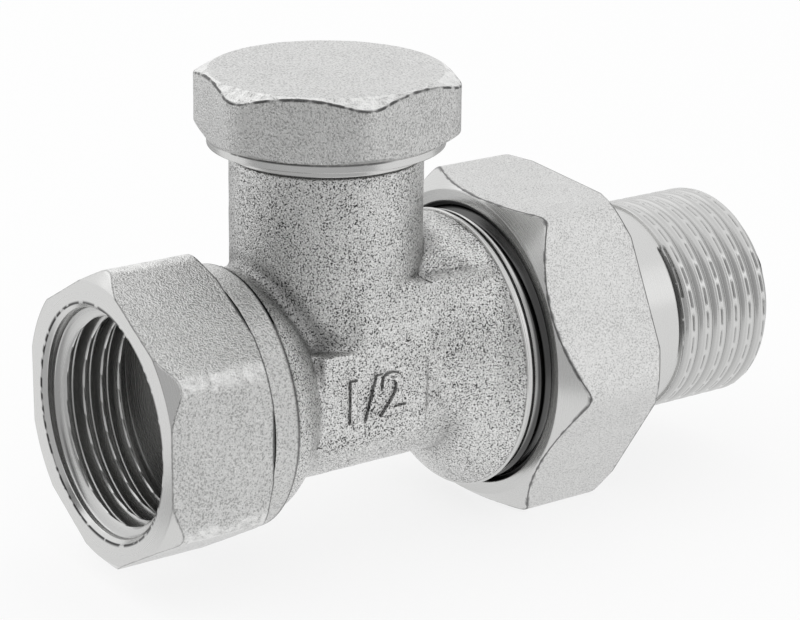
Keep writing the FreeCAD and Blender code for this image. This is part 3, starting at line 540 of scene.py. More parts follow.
def thread_phase(along, turn, start, pitch):
    """The distance along the axis in pitches less the turn: a whole number on each crest."""
    return (along - start) / pitch - turn / FULL_TURN


def thread_height(along, turn, start, pitch):
    """Height of a thread from 0 at its root to 1 at its crest.

    The triangle wave of the phase is eased by 3w^2 - 2w^3, which gives a pipe thread's flanks of
    27.5 degrees and its round crest and root.
    """
    wave = np.abs(2 * (thread_phase(along, turn, start, pitch) % 1.0) - 1)
    return wave**2 * (3 - 2 * wave)


def eased(value, low, high):
    """0 below low, 1 above high and 3t^2 - 2t^3 between."""
    t = np.clip((value - low) / (high - low), 0.0, 1.0)
    return t**2 * (3 - 2 * t)


def turns(columns):
    """The angles of the columns round the axis."""
    return np.arange(columns) * FULL_TURN / columns


def add_node(tree, kind, *settings):
    """Adds a node and gives its properties and inputs, by name, a plain value or an output."""
    node = tree.nodes.new(kind)
    for name, value in settings:
        if isinstance(value, bpy.types.NodeSocket):
            tree.links.new(value, node.inputs[name])
        elif isinstance(name, str) and hasattr(node, name):
            setattr(node, name, value)
        else:
            node.inputs[name].default_value = value
    return node


def new_material(name, *settings):
    """A material with one principled shader, and the tree and shader to build on."""
    found = bpy.data.materials.get(name)
    if found:
        bpy.data.materials.remove(found)
    material = bpy.data.materials.new(name)
    material.use_nodes = True
    tree = material.node_tree
    tree.nodes.clear()
    shader = add_node(tree, "ShaderNodeBsdfPrincipled", *settings)
    add_node(tree, "ShaderNodeOutputMaterial", ("Surface", shader.outputs["BSDF"]))
    return material, tree, shader


def ramp(tree, value, to_low, to_high, low=0.0, high=1.0):
    """A node that maps a value between two limits."""
    limits = (("From Min", low), ("From Max", high), ("To Min", to_low), ("To Max", to_high))
    return add_node(tree, "ShaderNodeMapRange", *limits, ("Value", value)).outputs["Result"]


def mixed(tree, factor, first, second):
    """A node that mixes two colours, each a plain colour or an output."""
    first, second = (
        item if isinstance(item, bpy.types.NodeSocket) else (*item, 1.0) for item in (first, second)
    )
    settings = (("data_type", "RGBA"), ("Factor", factor), (6, first), (7, second))
    return add_node(tree, "ShaderNodeMix", *settings).outputs[2]


def calculated(tree, operation, *values, kind="Math", result="Value"):
    """The result of an operation on plain values and outputs."""
    node = add_node(tree, f"ShaderNode{kind}", ("operation", operation), *enumerate(values))
    return node.outputs[result]


def noise(tree, where, width, detail, *settings, socket="Vector"):
    """Noise of the given width at a place."""
    settings = (*settings, ("Scale", 1 / width), ("Detail", detail), (socket, where))
    return add_node(tree, "ShaderNodeTexNoise", *settings).outputs["Fac"]


def mark(tree, name):
    """A mark that the mesh's points carry, such as the painted shade of creases."""
    return add_node(tree, "ShaderNodeAttribute", ("attribute_name", name)).outputs["Fac"]


def surface(tree, shader, height, depth, *inputs):
    """Links the shader's inputs to outputs, by name, and its normal to a bump of the height."""
    bump = add_node(
        tree, "ShaderNodeBump", ("Strength", 1.0), ("Distance", depth), ("Height", height)
    )
    for name, output in (*inputs, ("Normal", bump.outputs["Normal"])):
        tree.links.new(output, shader.inputs[name])


def forged_nickel(name, grain, depth, contrast):
    """Nickel plated over a blasted brass forging.

    The grit leaves grains of its own width. Small pits between them stay dull and dark, and the
    highest grains wear bright. Painted shade darkens the creases, and a painted highlight, with some
    rubbing wear, brightens marked edges. The contrast is the share of the way from the plate's
    colour that the pits and the brightest grains go.
    """
    finish = bpy.context.scene.valve_finish
    material, tree, shader = new_material(name, ("Metallic", 1.0), ("Roughness", 0.34))
    place = add_node(tree, "ShaderNodeTexCoord").outputs["Object"]
    grains = noise(tree, place, grain, 1.0, ("Roughness", 0.6))
    patches = noise(tree, place, 25 * grain, 2.0)
    level = calculated(tree, "MULTIPLY_ADD", patches, 0.12, grains)
    shade = mixed(tree, ramp(tree, level, 0.0, contrast, 0.58, 0.74), finish.forged, finish.rubbed_and_highlight)
    shade = mixed(tree, ramp(tree, level, contrast, 0.0, 0.41, 0.52), shade, finish.pitted)
    # Painted highlight, with some rubbing wear, on marked edges
    shade = mixed(tree, mark(tree, "rub_and_highlight"), shade, finish.rubbed_and_highlight)
    # Painted shade in creases and grooves
    shade = mixed(tree, mark(tree, "crease_shade"), shade, finish.crease_shade)
    surface(tree, shader, level, depth, ("Base Color", shade))
    return material


def turned_nickel(name, centre, across, ring, depth):
    """Nickel plated over turned brass: a smoother metal with fine rings left by the tool.

    The rings follow the distance along the axis plus the distance out from it, so they circle both
    the faces and the round walls.
    """
    finish = bpy.context.scene.valve_finish
    material, tree, shader = new_material(name, ("Metallic", 1.0), ("Roughness", 0.24))
    place = add_node(tree, "ShaderNodeTexCoord").outputs["Object"]
    moved = calculated(tree, "SUBTRACT", place, centre, kind="VectorMath", result="Vector")
    flat = calculated(tree, "MULTIPLY", moved, across, kind="VectorMath", result="Vector")
    out = calculated(tree, "LENGTH", flat, kind="VectorMath")
    axis = tuple(1.0 - share for share in across)
    along = calculated(tree, "DOT_PRODUCT", moved, axis, kind="VectorMath")
    level = calculated(tree, "ADD", out, along)
    rings = noise(tree, level, ring, 2.0, ("noise_dimensions", "1D"), socket="W")
    # Painted shade in grooves, thread roots and along corners
    shade = mixed(tree, mark(tree, "crease_shade"), finish.turned, finish.crease_shade)
    rough = ramp(tree, rings, 0.18, 0.32)
    surface(tree, shader, rings, depth, ("Base Color", shade), ("Roughness", rough))
    return material


def grained(name, base, metallic, roughness, grain, depth):
    """A plain finish with a fine grain: noise of the given width in bump and roughness."""
    material, tree, shader = new_material(
        name, ("Metallic", metallic), ("Base Color", (*base, 1.0))
    )
    level = noise(tree, add_node(tree, "ShaderNodeTexCoord").outputs["Object"], grain, 3.0)
    rough = ramp(tree, level, roughness - 0.06, roughness + 0.06)
    surface(tree, shader, level, depth, ("Roughness", rough))
    return material


def seen_share(tree):
    """One for rays of the camera, of mirrors and of glass, and nought for dull surfaces."""
    path = add_node(tree, "ShaderNodeLightPath").outputs
    seen = calculated(tree, "MAXIMUM", path["Is Camera Ray"], path["Is Glossy Ray"])
    return calculated(tree, "MAXIMUM", seen, path["Is Transmission Ray"])


def outside_finishes(axis, blasted="peened_nickel"):
    """The forged, turned and fine finishes of a piece that is turned about the flow or the neck."""
    # Each plated forging: grain, depth of its dimples and their contrast
    forgings = {
        "blasted_nickel": (0.15 * MM, 0.1 * MM, 1.0),
        "peened_nickel": (0.18 * MM, 0.16 * MM, 0.38),
        "satin_nickel": (0.14 * MM, 0.04 * MM, 0.35),
    }
    made = bpy.data.materials.get
    forged, fine = (
        made(name) or forged_nickel(name, *forgings[name]) for name in (blasted, "satin_nickel")
    )
    centre, across = ((NECK_X, 0, 0), (1, 1, 0)) if axis == "neck" else ((0, 0, 0), (0, 1, 1))
    name = f"turned_nickel_{axis}"
    turned = made(name) or turned_nickel(name, centre, across, 0.12 * MM, 0.004 * MM)
    return [forged, turned, fine]


class VALVE_OT_inlet_end(bpy.types.Operator):
    """Makes the inlet's hexagon with its chamfers and its female pipe thread"""

    bl_idname = "valve.inlet_end"
    bl_label = "Inlet End"

    def execute(self, context):
        size, thread = context.scene.valve_inlet, context.scene.valve_thread
        turn = turns(360)
        flat = hexagon_radius(turn, size.flats, size.corner_round, FULL_TURN / 4)
        face = chamfer_start(size.face_radius, flat, 0.05 * MM)
        front = (flat - face) * math.tan(size.front_slope)
        rear = size.hex_length - (flat - face) * math.tan(size.rear_slope)
        sunk = size.collar_radius - size.groove
        end = context.scene.valve_forging.start + 2 * LAP
        rows, finishes, runs = section(
            turn,
            (0.0, PIPE_RADIUS + size.mouth, 0.06 * MM, 8),
            (0.0, face, 0.08 * MM, 4),
            (front, flat, 0.12 * MM, 40, FORGED),
            (rear, flat, 0.2 * MM, 4, FORGED),
            (size.hex_length, face, 0.06 * MM, 2, FORGED),
            (size.hex_length, sunk, 0.0, 1),
            (size.hex_length + size.groove_width, sunk, 0.0, 1),
            (size.hex_length + size.groove_width, size.collar_radius, 0.05 * MM, 12, FORGED),
            (end, size.collar_radius, 0.08 * MM, 3),
            (end, PIPE_RADIUS + 0.1 * MM, 0.0, 1),
            (end, PIPE_RADIUS, 0.0, 150),
            (size.mouth, PIPE_RADIUS, 0.05 * MM, 4),
        )
        # The thread rises behind the mouth and fades out at its end
        bore = runs == 10
        along = rows[bore, 0]
        stop = -size.thread_end
        fade = eased(along, 0.5 * MM, 1.6 * MM) * eased(-along, stop, stop + 1.2 * MM)
        height = thread_height(along, turn, 0.0, thread.pitch) ** 2
        rows[bore, 1] -= thread.depth * height * fade
        # Painted shade: in the thread's roots, on the groove's floor and in lines along the mouth
        # and edges
        shade = np.zeros((len(rows), len(turn)))
        shade[bore] = 0.25 * (1 - height * fade) * eased(along, 0.6 * MM, 1.2 * MM)
        after = rows[:, 0] - size.hex_length
        grooved = (after > -LAP) & (after < size.groove_width + LAP) & (rows[:, 1] > sunk - LAP)
        shade[grooved & (rows[:, 1] < sunk + 0.6 * size.groove)] = DEEP
        ragged = uneven(rows, turn, around_flow, 0.4 * MM, 3)
        # The mouth's line is dark where the lumps are high and faint elsewhere
        mouth = corner_line(rows, 0.0, PIPE_RADIUS + size.mouth, 0.1 * MM, ragged)
        shade = np.maximum(shade, mouth * (0.65 + 0.35 * np.sign(ragged + 0.4)))
        # Painted shade lines along the front chamfer's edge, the hexagon's rear edge and the
        # collar's rear edge
        shade = np.maximum(shade, 0.4 * corner_line(rows, front, flat, 0.1 * MM, ragged))
        for along, out in ((rear, flat), (end, size.collar_radius)):
            shade = np.maximum(shade, CORNER_SHADE * corner_line(rows, along, out, 0.16 * MM, ragged))
        # A painted highlight, with some rubbing wear, on the hexagon's corners only, which reach
        # farthest out
        rub_and_highlight = 0.8 * eased(rows[:, 1] / flat.max(), 0.982, 0.996) * eased(ragged, -0.7, 0.3)
        turned_piece(
            "inlet_end",
            "valve_body",
            "flow",
            (rows, finishes, turn),
            marks=(shade, rub_and_highlight),
            rough=0.5,
        )
        return {"FINISHED"}


def cut_away(mesh, point, direction):
    """Cuts off what lies beyond a plane and closes the cut."""
    work = bmesh.new()
    work.from_mesh(mesh)
    bmesh.ops.remove_doubles(work, verts=work.verts, dist=0.001 * MM)
    parts = work.verts[:] + work.edges[:] + work.faces[:]
    cut = bmesh.ops.bisect_plane(
        work, geom=parts, plane_co=point, plane_no=direction, clear_outer=True
    )
    edges = [item for item in cut["geom_cut"] if isinstance(item, bmesh.types.BMEdge)]
    bmesh.ops.triangle_fill(work, edges=edges, use_beauty=True)
    bmesh.ops.recalc_face_normals(work, faces=work.faces)
    work.to_mesh(mesh)
    work.free()


def spread(values, edges):
    """The mean of each point's neighbours along the edges, for one value or several of a point."""
    if values.ndim > 1:
        return np.stack([spread(column, edges) for column in values.T], axis=1)
    one, other = edges.T
    total = np.bincount(one, values[other], len(values))
    total = total + np.bincount(other, values[one], len(values))
    return total / np.maximum(np.bincount(edges.ravel(), minlength=len(values)), 1)


def smoothed(points, edges, passes):
    """Points drawn to the mean of their neighbours and then pushed back, pass by pass.

    The first half of each pass moves them by 0.5 of the way and the second by -0.53, so the steps
    of the grid go and the form keeps its size.
    """
    for factor in (0.5, -0.53) * passes:
        points = points + factor * (spread(points, edges) - points)
    return points


def hollowness(points, normals, edges, near, far):
    """How much painted shade each point gets in creases, from 0 on flat metal and on edges to 1.

    The mean of a point's neighbours less the point, measured along its normal, is positive in a
    hollow. It is spread to the neighbours for as many passes as the near reach counts, and eased.
    The same spread over the far reach adds the soft painted shade of wide hollows.
    """
    depth = np.einsum("ij,ij->i", spread(points, edges) - points, normals) / MM
    for _ in range(int(near)):
        depth = spread(depth, edges)
    wide = depth
    for _ in range(int(far)):
        wide = spread(wide, edges)
    return 0.45 * eased(depth, 0.008, 0.03) + 0.5 * eased(wide, 0.0006, 0.0042)


class VALVE_OT_forged_body(bpy.types.Operator):
    """Makes the forged middle of the body, with its neck, collar, dome and pad

    Neck, collar, dome, pad and the inner drillings run into each other here, which no single grid
    of two parameters follows, so the solid's own surface is cut to length, laid on an even grid,
    smoothed and given the forging's lumps
    """

    bl_idname = "valve.forged_body"
    bl_label = "Forged Body"

    def execute(self, context):
        size = context.scene.valve_forging
        mesh = frame["nodes"]["valve_body"].data.copy()
        mesh.materials.clear()
        cut_away(mesh, (size.start + LAP, 0, 0), (-1, 0, 0))
        cut_away(mesh, (size.dome_end - LAP, 0, 0), (1, 0, 0))
        cut_away(mesh, (0, 0, size.neck_top - LAP), (0, 0, 1))
        holder = linked("forging", mesh)
        grid = holder.modifiers.new("grid", "REMESH")
        grid.mode = "VOXEL"
        grid.voxel_size = size.grid
        context.view_layer.update()
        even = bpy.data.meshes.new_from_object(
            holder.evaluated_get(context.evaluated_depsgraph_get())
        )
        bpy.data.objects.remove(holder)
        if len(even.vertices) < 10000:
            raise RuntimeError("the forging's surface wasn't closed, so its grid came out empty")
        edges = values_of(even.edges, "vertices", 2, np.int32)
        points = smoothed(values_of(even.vertices, "co", 3), edges, 7)
        even.vertices.foreach_set("co", points.ravel())
        even.update()
        normals = values_of(even.vertices, "normal", 3)
        # Above this height a point belongs to the neck, below it to the flow
        on_neck = eased(points[:, 2], 8.5 * MM, 9.5 * MM)[:, None]
        from_flow = points * (0, 1, 1)
        from_neck = (points - (NECK_X, 0, 0)) * (1, 1, 0)
        away = from_flow * (1 - on_neck) + from_neck * on_neck
        reach = np.linalg.norm(away, axis=1, keepdims=True)
        away /= np.maximum(reach, 1e-9)
        facing = np.einsum("ij,ij->i", away, normals)
        outer = eased(facing, 0.2, 0.6)
        # The bores are turned: faces that don't look out and lie near their axis
        widest_bore = np.where(points[:, 0] < size.start + 0.4 * MM, PIPE_RADIUS, 8.4 * MM)
        bored = (facing < 0.2) & (reach[:, 0] < widest_bore)
        corners = values_of(even.loops, "vertex_index", kind=np.int32).reshape(-1, 4)
        tags = np.where(bored[corners].all(axis=1), TURNED, FORGED)
        even.polygons.foreach_set("material_index", tags.astype(np.int32))
        after = points[:, 0] - size.start
        step = size.step * (1 - eased(after, 0.0, size.step_length)) * outer
        points -= away * step[:, None]
        # The pad's face runs on up the neck's front as a slope
        over = points[:, 2] - size.pad_top
        slope = size.pad_slope * np.maximum(over, 0.0) - size.pad_front
        blend = eased(points[:, 0], NECK_X - 3.4 * MM, NECK_X - 1.4 * MM)
        blend *= (over > -0.5 * MM) & (over < 5.0 * MM) & (normals[:, 1] < -0.3) & (outer > 0)
        points[:, 1] -= blend * np.maximum(points[:, 1] - slope, 0.0)
        even.vertices.foreach_set("co", points.ravel())
        # Lumps and the painted shade of creases stay clear of the three cuts, where other pieces go
        # on
        inside = 1.0
        for room in (after, size.neck_top - points[:, 2], size.dome_end - points[:, 0]):
            inside = inside * eased(room, 0.1 * MM, 0.6 * MM)
        roughen(even, outer * inside, size.lump_width, size.lump_height)
        passes = (size.crease_width / size.grid, size.hollow_width / size.grid)
        # Painted shade in creases and wide hollows, and a painted shade line where the shoulder
        # leaves the collar
        depth = hollowness(points, normals, edges, *passes) * (1 - 0.9 * blend)
        edge = DEEP * (1 - eased(after, 0.3 * MM, 0.5 * MM)) * outer
        paint_shade_and_highlight(even, np.maximum(depth * inside, edge))
        finishes = outside_finishes("flow", "blasted_nickel")
        place_piece(even, "forged_body", "valve_body", finishes, ["valve_body"], sharp=60.0)
        return {"FINISHED"}


class VALVE_OT_size_mark(bpy.types.Operator):
    """Makes the raised figures of the nominal size on the pad"""

    bl_idname = "valve.size_mark"
    bl_label = "Size Mark"

    def execute(self, context):
        size = context.scene.valve_mark
        # The second, wider and thin copy is a dark rim of painted shade round the figures
        rises = {"size_mark": (size.rise, 0.0), "size_mark_shade_rim": (size.bevel + LAP, size.rim)}
        for name, (rise, offset) in rises.items():
            text = bpy.data.curves.new(name, "FONT")
            text.body = size.figures
            text.size = size.height
            text.extrude = rise - size.bevel
            text.offset = offset
            text.bevel_depth = size.bevel
            text.bevel_resolution = 2
            text.align_x, text.align_y = "CENTER", "CENTER"
            holder = linked("figures", text)
            context.view_layer.update()
            mesh = bpy.data.meshes.new_from_object(holder)
            bpy.data.objects.remove(holder)
            mesh.transform(Matrix.Translation(size.place) @ Matrix.Rotation(FULL_TURN / 4, 4, "X"))
            mesh.materials.clear()
            zeros = np.zeros(len(mesh.polygons), dtype=np.int32)
            mesh.polygons.foreach_set("material_index", zeros)
            paint_shade_and_highlight(mesh, np.full(len(mesh.vertices), CORNER_SHADE if offset else 0.0))
            finishes = outside_finishes("flow", "blasted_nickel")
            place_piece(mesh, name, "valve_body", finishes, [])
        return {"FINISHED"}


class VALVE_OT_union_end(bpy.types.Operator):
    """Makes the turned flange, groove and union thread behind the dome"""

    bl_idname = "valve.union_end"
    bl_label = "Union End"

    def execute(self, context):
        size, thread = context.scene.valve_union, context.scene.valve_thread
        start = context.scene.valve_forging.dome_end - 2 * LAP
        end = BODY_HIGH[0]
        turn = turns(288)
        step = end - size.nose_depth
        # The turned ring stands in the middle half of the relief
        wait = (size.thread_start - size.flange_end) / 4
        ring_start, ring_end = size.flange_end + wait, size.thread_start - wait
        rows, finishes, runs = section(
            turn,
            (start, size.bore_radius, 0.0, 2),
            (start, size.flange_radius - 0.1 * MM, 0.0, 1),
            (start + 0.08 * MM, size.flange_radius, 0.03 * MM, 2),
            (size.flange_end, size.flange_radius, 0.03 * MM, 2),
            (size.flange_end, size.relief_radius, 0.04 * MM, 1),
            (ring_start, size.relief_radius, 0.04 * MM, 1),
            (ring_start, size.ring_radius, 0.06 * MM, 3),
            (ring_end, size.ring_radius, 0.06 * MM, 2),
            (ring_end, size.relief_radius, 0.04 * MM, 1),
            (size.thread_start, size.relief_radius, 0.04 * MM, 1),
            (size.thread_start, size.thread_radius, 0.0, 80),
            (end - size.chamfer, size.thread_radius, 0.1 * MM, 3),
            (end, size.thread_radius - size.chamfer, 0.08 * MM, 4),
            (end, size.nose_radius, 0.1 * MM, 5),
            (step, size.nose_radius, 0.1 * MM, 3),
            (step, size.bore_radius, 0.1 * MM, 6),
        )
        # The union thread has a pipe thread's pitch and 0.6 of its depth, and fades at the chamfer
        wall = runs == 10
        along = rows[wall, 0]
        height = thread_height(along, turn, 0.0, thread.pitch)
        fade = eased(-along, size.chamfer - end, 2 * size.chamfer - end)
        rows[wall, 1] -= 0.6 * thread.depth * (1 - height) * fade
        # Painted shade in the grooves and on the thread's first turns, where the nut's mouth shades
        # them
        shade = np.where(rows[:, 1] < size.relief_radius + 0.1 * MM, CORNER_SHADE, 0.0)
        shade *= rows[:, 0] < size.thread_start + LAP
        past = along - size.thread_start
        shade[wall] = DEEP * eased(past, 0.3 * MM, 0.5 * MM) * eased(-past, -3.0 * MM, -2.0 * MM)
        turned_piece("union_end", "valve_body", "flow", (rows, finishes, turn), marks=(shade,))
        return {"FINISHED"}


class VALVE_OT_neck_spigot(bpy.types.Operator):
    """Makes the neck's threaded spigot that carries the cap"""

    bl_idname = "valve.neck_spigot"
    bl_label = "Neck Spigot"

    def execute(self, context):
        size = context.scene.valve_neck
        low = context.scene.valve_forging.neck_top - 2 * LAP
        high = BODY_HIGH[2]
        turn = turns(240)
        root = size.radius - size.depth
        rows, finishes, runs = section(
            turn,
            (low, size.bore_radius, 0.0, 1),
            (low, root, 0.0, 2),
            (low + 0.5 * MM, root, 0.0, 70),
            (high - size.chamfer, root, 0.0, 3),
            (high, size.radius - size.chamfer - 0.15 * MM, 0.08 * MM, 3),
            (high, size.bore_radius, 0.1 * MM, 10),
        )
        # The crests rise over the root's wall and fade out at both of its ends
        wall = runs == 2
        along = rows[wall, 0]
        height = thread_height(along, turn, 0.0, size.pitch)
        fade = eased(along, low + 0.5 * MM, low + 0.9 * MM)
        fade = fade * eased(-along, size.chamfer - high, 2.5 * size.chamfer - high)
        rows[wall, 1] += size.depth * height * fade
        turned_piece("neck_spigot", "valve_body", "neck", (rows, finishes, turn))
        return {"FINISHED"}


class VALVE_OT_hex_cap(bpy.types.Operator):
    """Makes the hexagon cap with its chamfers, washer face and bore"""

    bl_idname = "valve.hex_cap"
    bl_label = "Hexagon Cap"

    def execute(self, context):
        size = context.scene.valve_cap
        turn = turns(480)
        low, high = CAP_LOW[2], CAP_HIGH[2]
        flat = hexagon_radius(turn, size.flats, size.corner_round, size.turn)
        top = chamfer_start(size.face_radius, flat)
        washer = chamfer_start(size.washer_radius, flat)
        shoulder = high - (flat - top) * math.tan(size.top_slope)
        hexagon_low = low + size.washer_height
        skirt = hexagon_low + (flat - washer) * math.tan(size.bottom_slope)
        roof = high - size.roof
        rows, finishes, _ = section(
            turn,
            (high, 0.0, 0.0, 40, FORGED),
            (high, top, 0.1 * MM, 12, FORGED),
            (shoulder, flat, 0.12 * MM, 40, FORGED),
            (skirt, flat, 0.15 * MM, 10, FORGED),
            (hexagon_low, washer, 0.06 * MM, 5),
            (low + size.washer_rise, washer, 0.1 * MM, 3),
            (low + size.washer_rise, washer - size.washer_inset, 0.1 * MM, 3),
            (low, washer - size.washer_inset, 0.1 * MM, 3),
            (low, size.bore_radius + size.mouth, 0.1 * MM, 3),
            (low + size.mouth, size.bore_radius, 0.05 * MM, 10),
            (roof, size.bore_radius, 0.2 * MM, 10),
            (roof, 0.0, 0.0, 0),
            closed=False,
        )
        ragged = uneven(rows, turn, around_neck, 0.5 * MM, 4)
        # A painted highlight, with some rubbing wear, on the upper chamfer, and a painted shade line
        # along its lower edge
        chamfered = (rows[:, 0] > shoulder) & (rows[:, 1] > top)
        rub_and_highlight = 0.7 * chamfered * eased(ragged, -0.6, 0.3)
        edge = corner_line(rows, shoulder, flat, 0.15 * MM, ragged) * eased(ragged, -0.9, 0.2)
        # The painted shade line over the washer face shows in two quarters of the turn only
        ring = (np.abs(rows[:, 0] - hexagon_low) < 0.1 * MM) * eased(np.sin(2 * turn), -0.1, 0.3)
        crease_shade = np.maximum(DEEP * edge, CORNER_SHADE * ring * eased(ragged, -0.8, -0.4))
        turned_piece(
            "plated_cap",
            "cap",
            "neck",
            (rows, finishes, turn),
            marks=(crease_shade, rub_and_highlight),
            rough=0.4,
            nodes=["hex_cap"],
            closed=False,
        )
        return {"FINISHED"}


class VALVE_OT_union_nut(bpy.types.Operator):
    """Makes the union nut with its chamfers and its stepped bore"""

    bl_idname = "valve.union_nut"
    bl_label = "Union Nut"

    def execute(self, context):
        size = context.scene.valve_nut
        turn = turns(480)
        front, rear = NUT_LOW[0], NUT_HIGH[0]
        flat = hexagon_radius(turn, size.flats, size.corner_round, size.turn)
        face = chamfer_start(size.face_radius, flat)
        back = chamfer_start(size.rear_radius, flat)
        # The front chamfer is a cone of 45 degrees, the rear one has its own slope
        shoulder = front + (flat - face)
        skirt = rear - (flat - back) * math.tan(size.rear_slope)
        rows, finishes, _ = section(
            turn,
            (front, size.bore_radius + size.mouth, 0.06 * MM, 8),
            (front, face, 0.06 * MM, 10),
            (shoulder, flat, 0.12 * MM, 56, FINE),
            (skirt, flat, 0.15 * MM, 10),
            (rear, back, 0.1 * MM, 16),
            (rear, size.hole_radius, 0.15 * MM, 6),
            (size.shoulder, size.hole_radius, 0.05 * MM, 6),
            (size.shoulder, size.bore_radius, 0.1 * MM, 10),
            (front + size.mouth, size.bore_radius, 0.05 * MM, 3),
        )
        # Painted shade in the bore and in lines along both chamfers
        shade = DEEP * (rows[:, 1] < size.bore_radius + 0.8 * size.mouth)
        ragged = uneven(rows, turn, around_flow, 0.5 * MM, 3)
        for along in (shoulder, skirt):
            shade = np.maximum(shade, CORNER_SHADE * corner_line(rows, along, flat, 0.13 * MM, ragged))
        turned_piece(
            "plated_nut",
            "nut",
            "flow",
            (rows, finishes, turn),
            marks=(shade,),
            nodes=["union_nut"],
        )
        return {"FINISHED"}


class VALVE_OT_tail_piece(bpy.types.Operator):
    """Makes the tail piece with its notched pipe thread

    A root of the thread is a groove with the section e^-x^2 that winds round the tail, with fainter
    lines a quarter of the pitch away; the notches are short grooves of that section on the crests
    """

    bl_idname = "valve.tail_piece"
    bl_label = "Tail Piece"

    def execute(self, context):
        size, thread = context.scene.valve_tail, context.scene.valve_thread
        nose, end = TAIL_LOW[0], TAIL_HIGH[0]
        # Fourteen columns to each notch
        turn = turns(14 * thread.notches)
        key = hexagon_radius(turn, size.key_flats, 0.2 * MM, FULL_TURN / 4)
        rows, finishes, runs = section(
            turn,
            (nose, size.bore_radius, 0.1 * MM, 3),
            (nose, size.nose_radius, 0.2 * MM, 3),
            (size.groove_start, size.nose_radius, 0.05 * MM, 2),
            (size.groove_start, size.groove_radius, 0.1 * MM, 3),
            (size.groove_end, size.groove_radius, 0.1 * MM, 2),
            (size.groove_end, size.nose_radius, 0.05 * MM, 2),
            (size.collar_start, size.nose_radius, 0.05 * MM, 4),
            (size.collar_start, size.collar_radius, 0.2 * MM, 3),
            (size.collar_end, size.collar_radius, 0.2 * MM, 4),
            (size.collar_end, size.band_radius, 0.1 * MM, 12),
            (size.run_out - size.run_out_width, size.band_radius, 0.0, 9),
            (size.thread_start, size.band_radius, 0.0, 1),
            (size.thread_start, PIPE_RADIUS, 0.0, 130),
            (end, PIPE_RADIUS, 0.0, 3),
            (end, key, 0.1 * MM, 10),
            (end - size.key_depth, key, 0.0, 1),
            (end - size.key_depth, size.bore_radius, 0.05 * MM, 10),
        )
        wall = np.isin(runs, (12, 13)) | ((rows[:, 0, 0] >= size.thread_start) & (runs == -1))
        wall &= rows[:, 1, 0] > size.band_radius
        along, out = rows[wall, 0], rows[wall, 1]
        phase = thread_phase(along, turn, size.root_start, thread.pitch)
        root = ((phase + 0.5) % 1.0 - 0.5) * thread.pitch
        crest = (phase % 1.0 - 0.5) * thread.pitch
        between = np.abs(crest) - thread.pitch / 4
        cut = eased(along, size.thread_start, size.thread_start + 0.2 * MM)
        valley = np.exp(-((root / size.root_width) ** 2)) * cut
        line = np.exp(-((between / thread.notch_width) ** 2)) * cut
        share = (turn * thread.notches / FULL_TURN) % 1.0
        dash = eased(share, 0.1, 0.2) * eased(-share, -0.95, -0.85)
        slot = np.exp(-((crest / thread.notch_width) ** 2)) * dash * cut
        screw = PIPE_RADIUS - size.root_depth * (valley + 0.15 * line) - thread.notch_depth * slot
        # The end's chamfer is a cone of 45 degrees
        cone = PIPE_RADIUS - size.chamfer * 1.6 + (end - along)
        rows[wall, 1] = np.minimum(np.minimum(out, screw), cone)
        # Painted shade in the thread's roots, its fainter lines and its notches
        shade = np.zeros((len(rows), len(turn)))
        shade[wall] = 0.35 * valley + 0.15 * line + 0.45 * slot
        # The thread runs out in a cove, from the first to the last of these angles
        first, last = math.radians(128), math.radians(165)
        middle = (rows[:, 0] - size.run_out) / size.run_out_width
        cove = np.exp(-((2.2 * middle) ** 4)) * eased(turn, first, first + 0.05)
        cove *= 1 - eased(turn, last, last + 0.6)
        cove *= rows[:, 1] > size.band_radius - 0.1 * MM
        cove[rows[:, 0] < size.collar_end + MM] = 0.0
        rows[:, 1] -= size.root_depth * cove
        # The cove gets painted shade as well
        turned_piece(
            "threaded_tail",
            "tail",
            "flow",
            (rows, finishes, turn),
            marks=(np.maximum(shade, 0.5 * cove),),
            nodes=["tail_piece"],
            sharp=50.0,
        )
        return {"FINISHED"}


class VALVE_OT_inner_pieces(bpy.types.Operator):
    """Gives the pieces inside the valve their finishes"""

    bl_idname = "valve.inner_pieces"
    bl_label = "Inner Pieces"

    def execute(self, context):
        finish = context.scene.valve_finish
        by_slot = {
            # Bare turned brass is a warm bright metal with the tool's fine grain
            "bare_brass": ("turned_brass", finish.brass, 1.0, 0.3, 0.15 * MM, 0.004 * MM),
            # Spring steel comes bright from the press
            "spring_steel": ("spring_steel", finish.steel, 1.0, 0.28, 0.2 * MM, 0.003 * MM),
            # Nitrile rubber is a dull black with a faint moulded grain
            "seal_rubber": ("nitrile_rubber", finish.rubber, 0.0, 0.55, 0.1 * MM, 0.01 * MM),
            # Gasket fibre is pressed from short fibres that show as a pale fleck
            "gasket_fibre": ("gasket_fibre", finish.fibre, 0.0, 0.8, 0.3 * MM, 0.03 * MM),
        }
        by_slot = {slot: grained(*looks) for slot, looks in by_slot.items()}
        for subpart in frame["record"]["subparts"]:
            if subpart["material_slot"] in by_slot:
                for place in frame["nodes"][subpart["node"]].material_slots:
                    place.material = by_slot[subpart["material_slot"]]
        return {"FINISHED"}


def pointed(direction, up, place):
    """A placing matrix whose +Z is the given direction and whose +Y is nearest to up."""
    ahead = Vector(direction).normalized()
    side = Vector(up).cross(ahead).normalized()
    over = ahead.cross(side)
    turned = Matrix((side, over, ahead)).transposed().to_4x4()
    return Matrix.Translation(place) @ turned


def direction_from(azimuth, elevation):
    """The direction from the valve towards an azimuth and an elevation in degrees."""
    around, over = math.radians(azimuth), math.radians(elevation)
    return Vector(
        (math.sin(around) * math.cos(over), -math.cos(around) * math.cos(over), math.sin(over))
    )


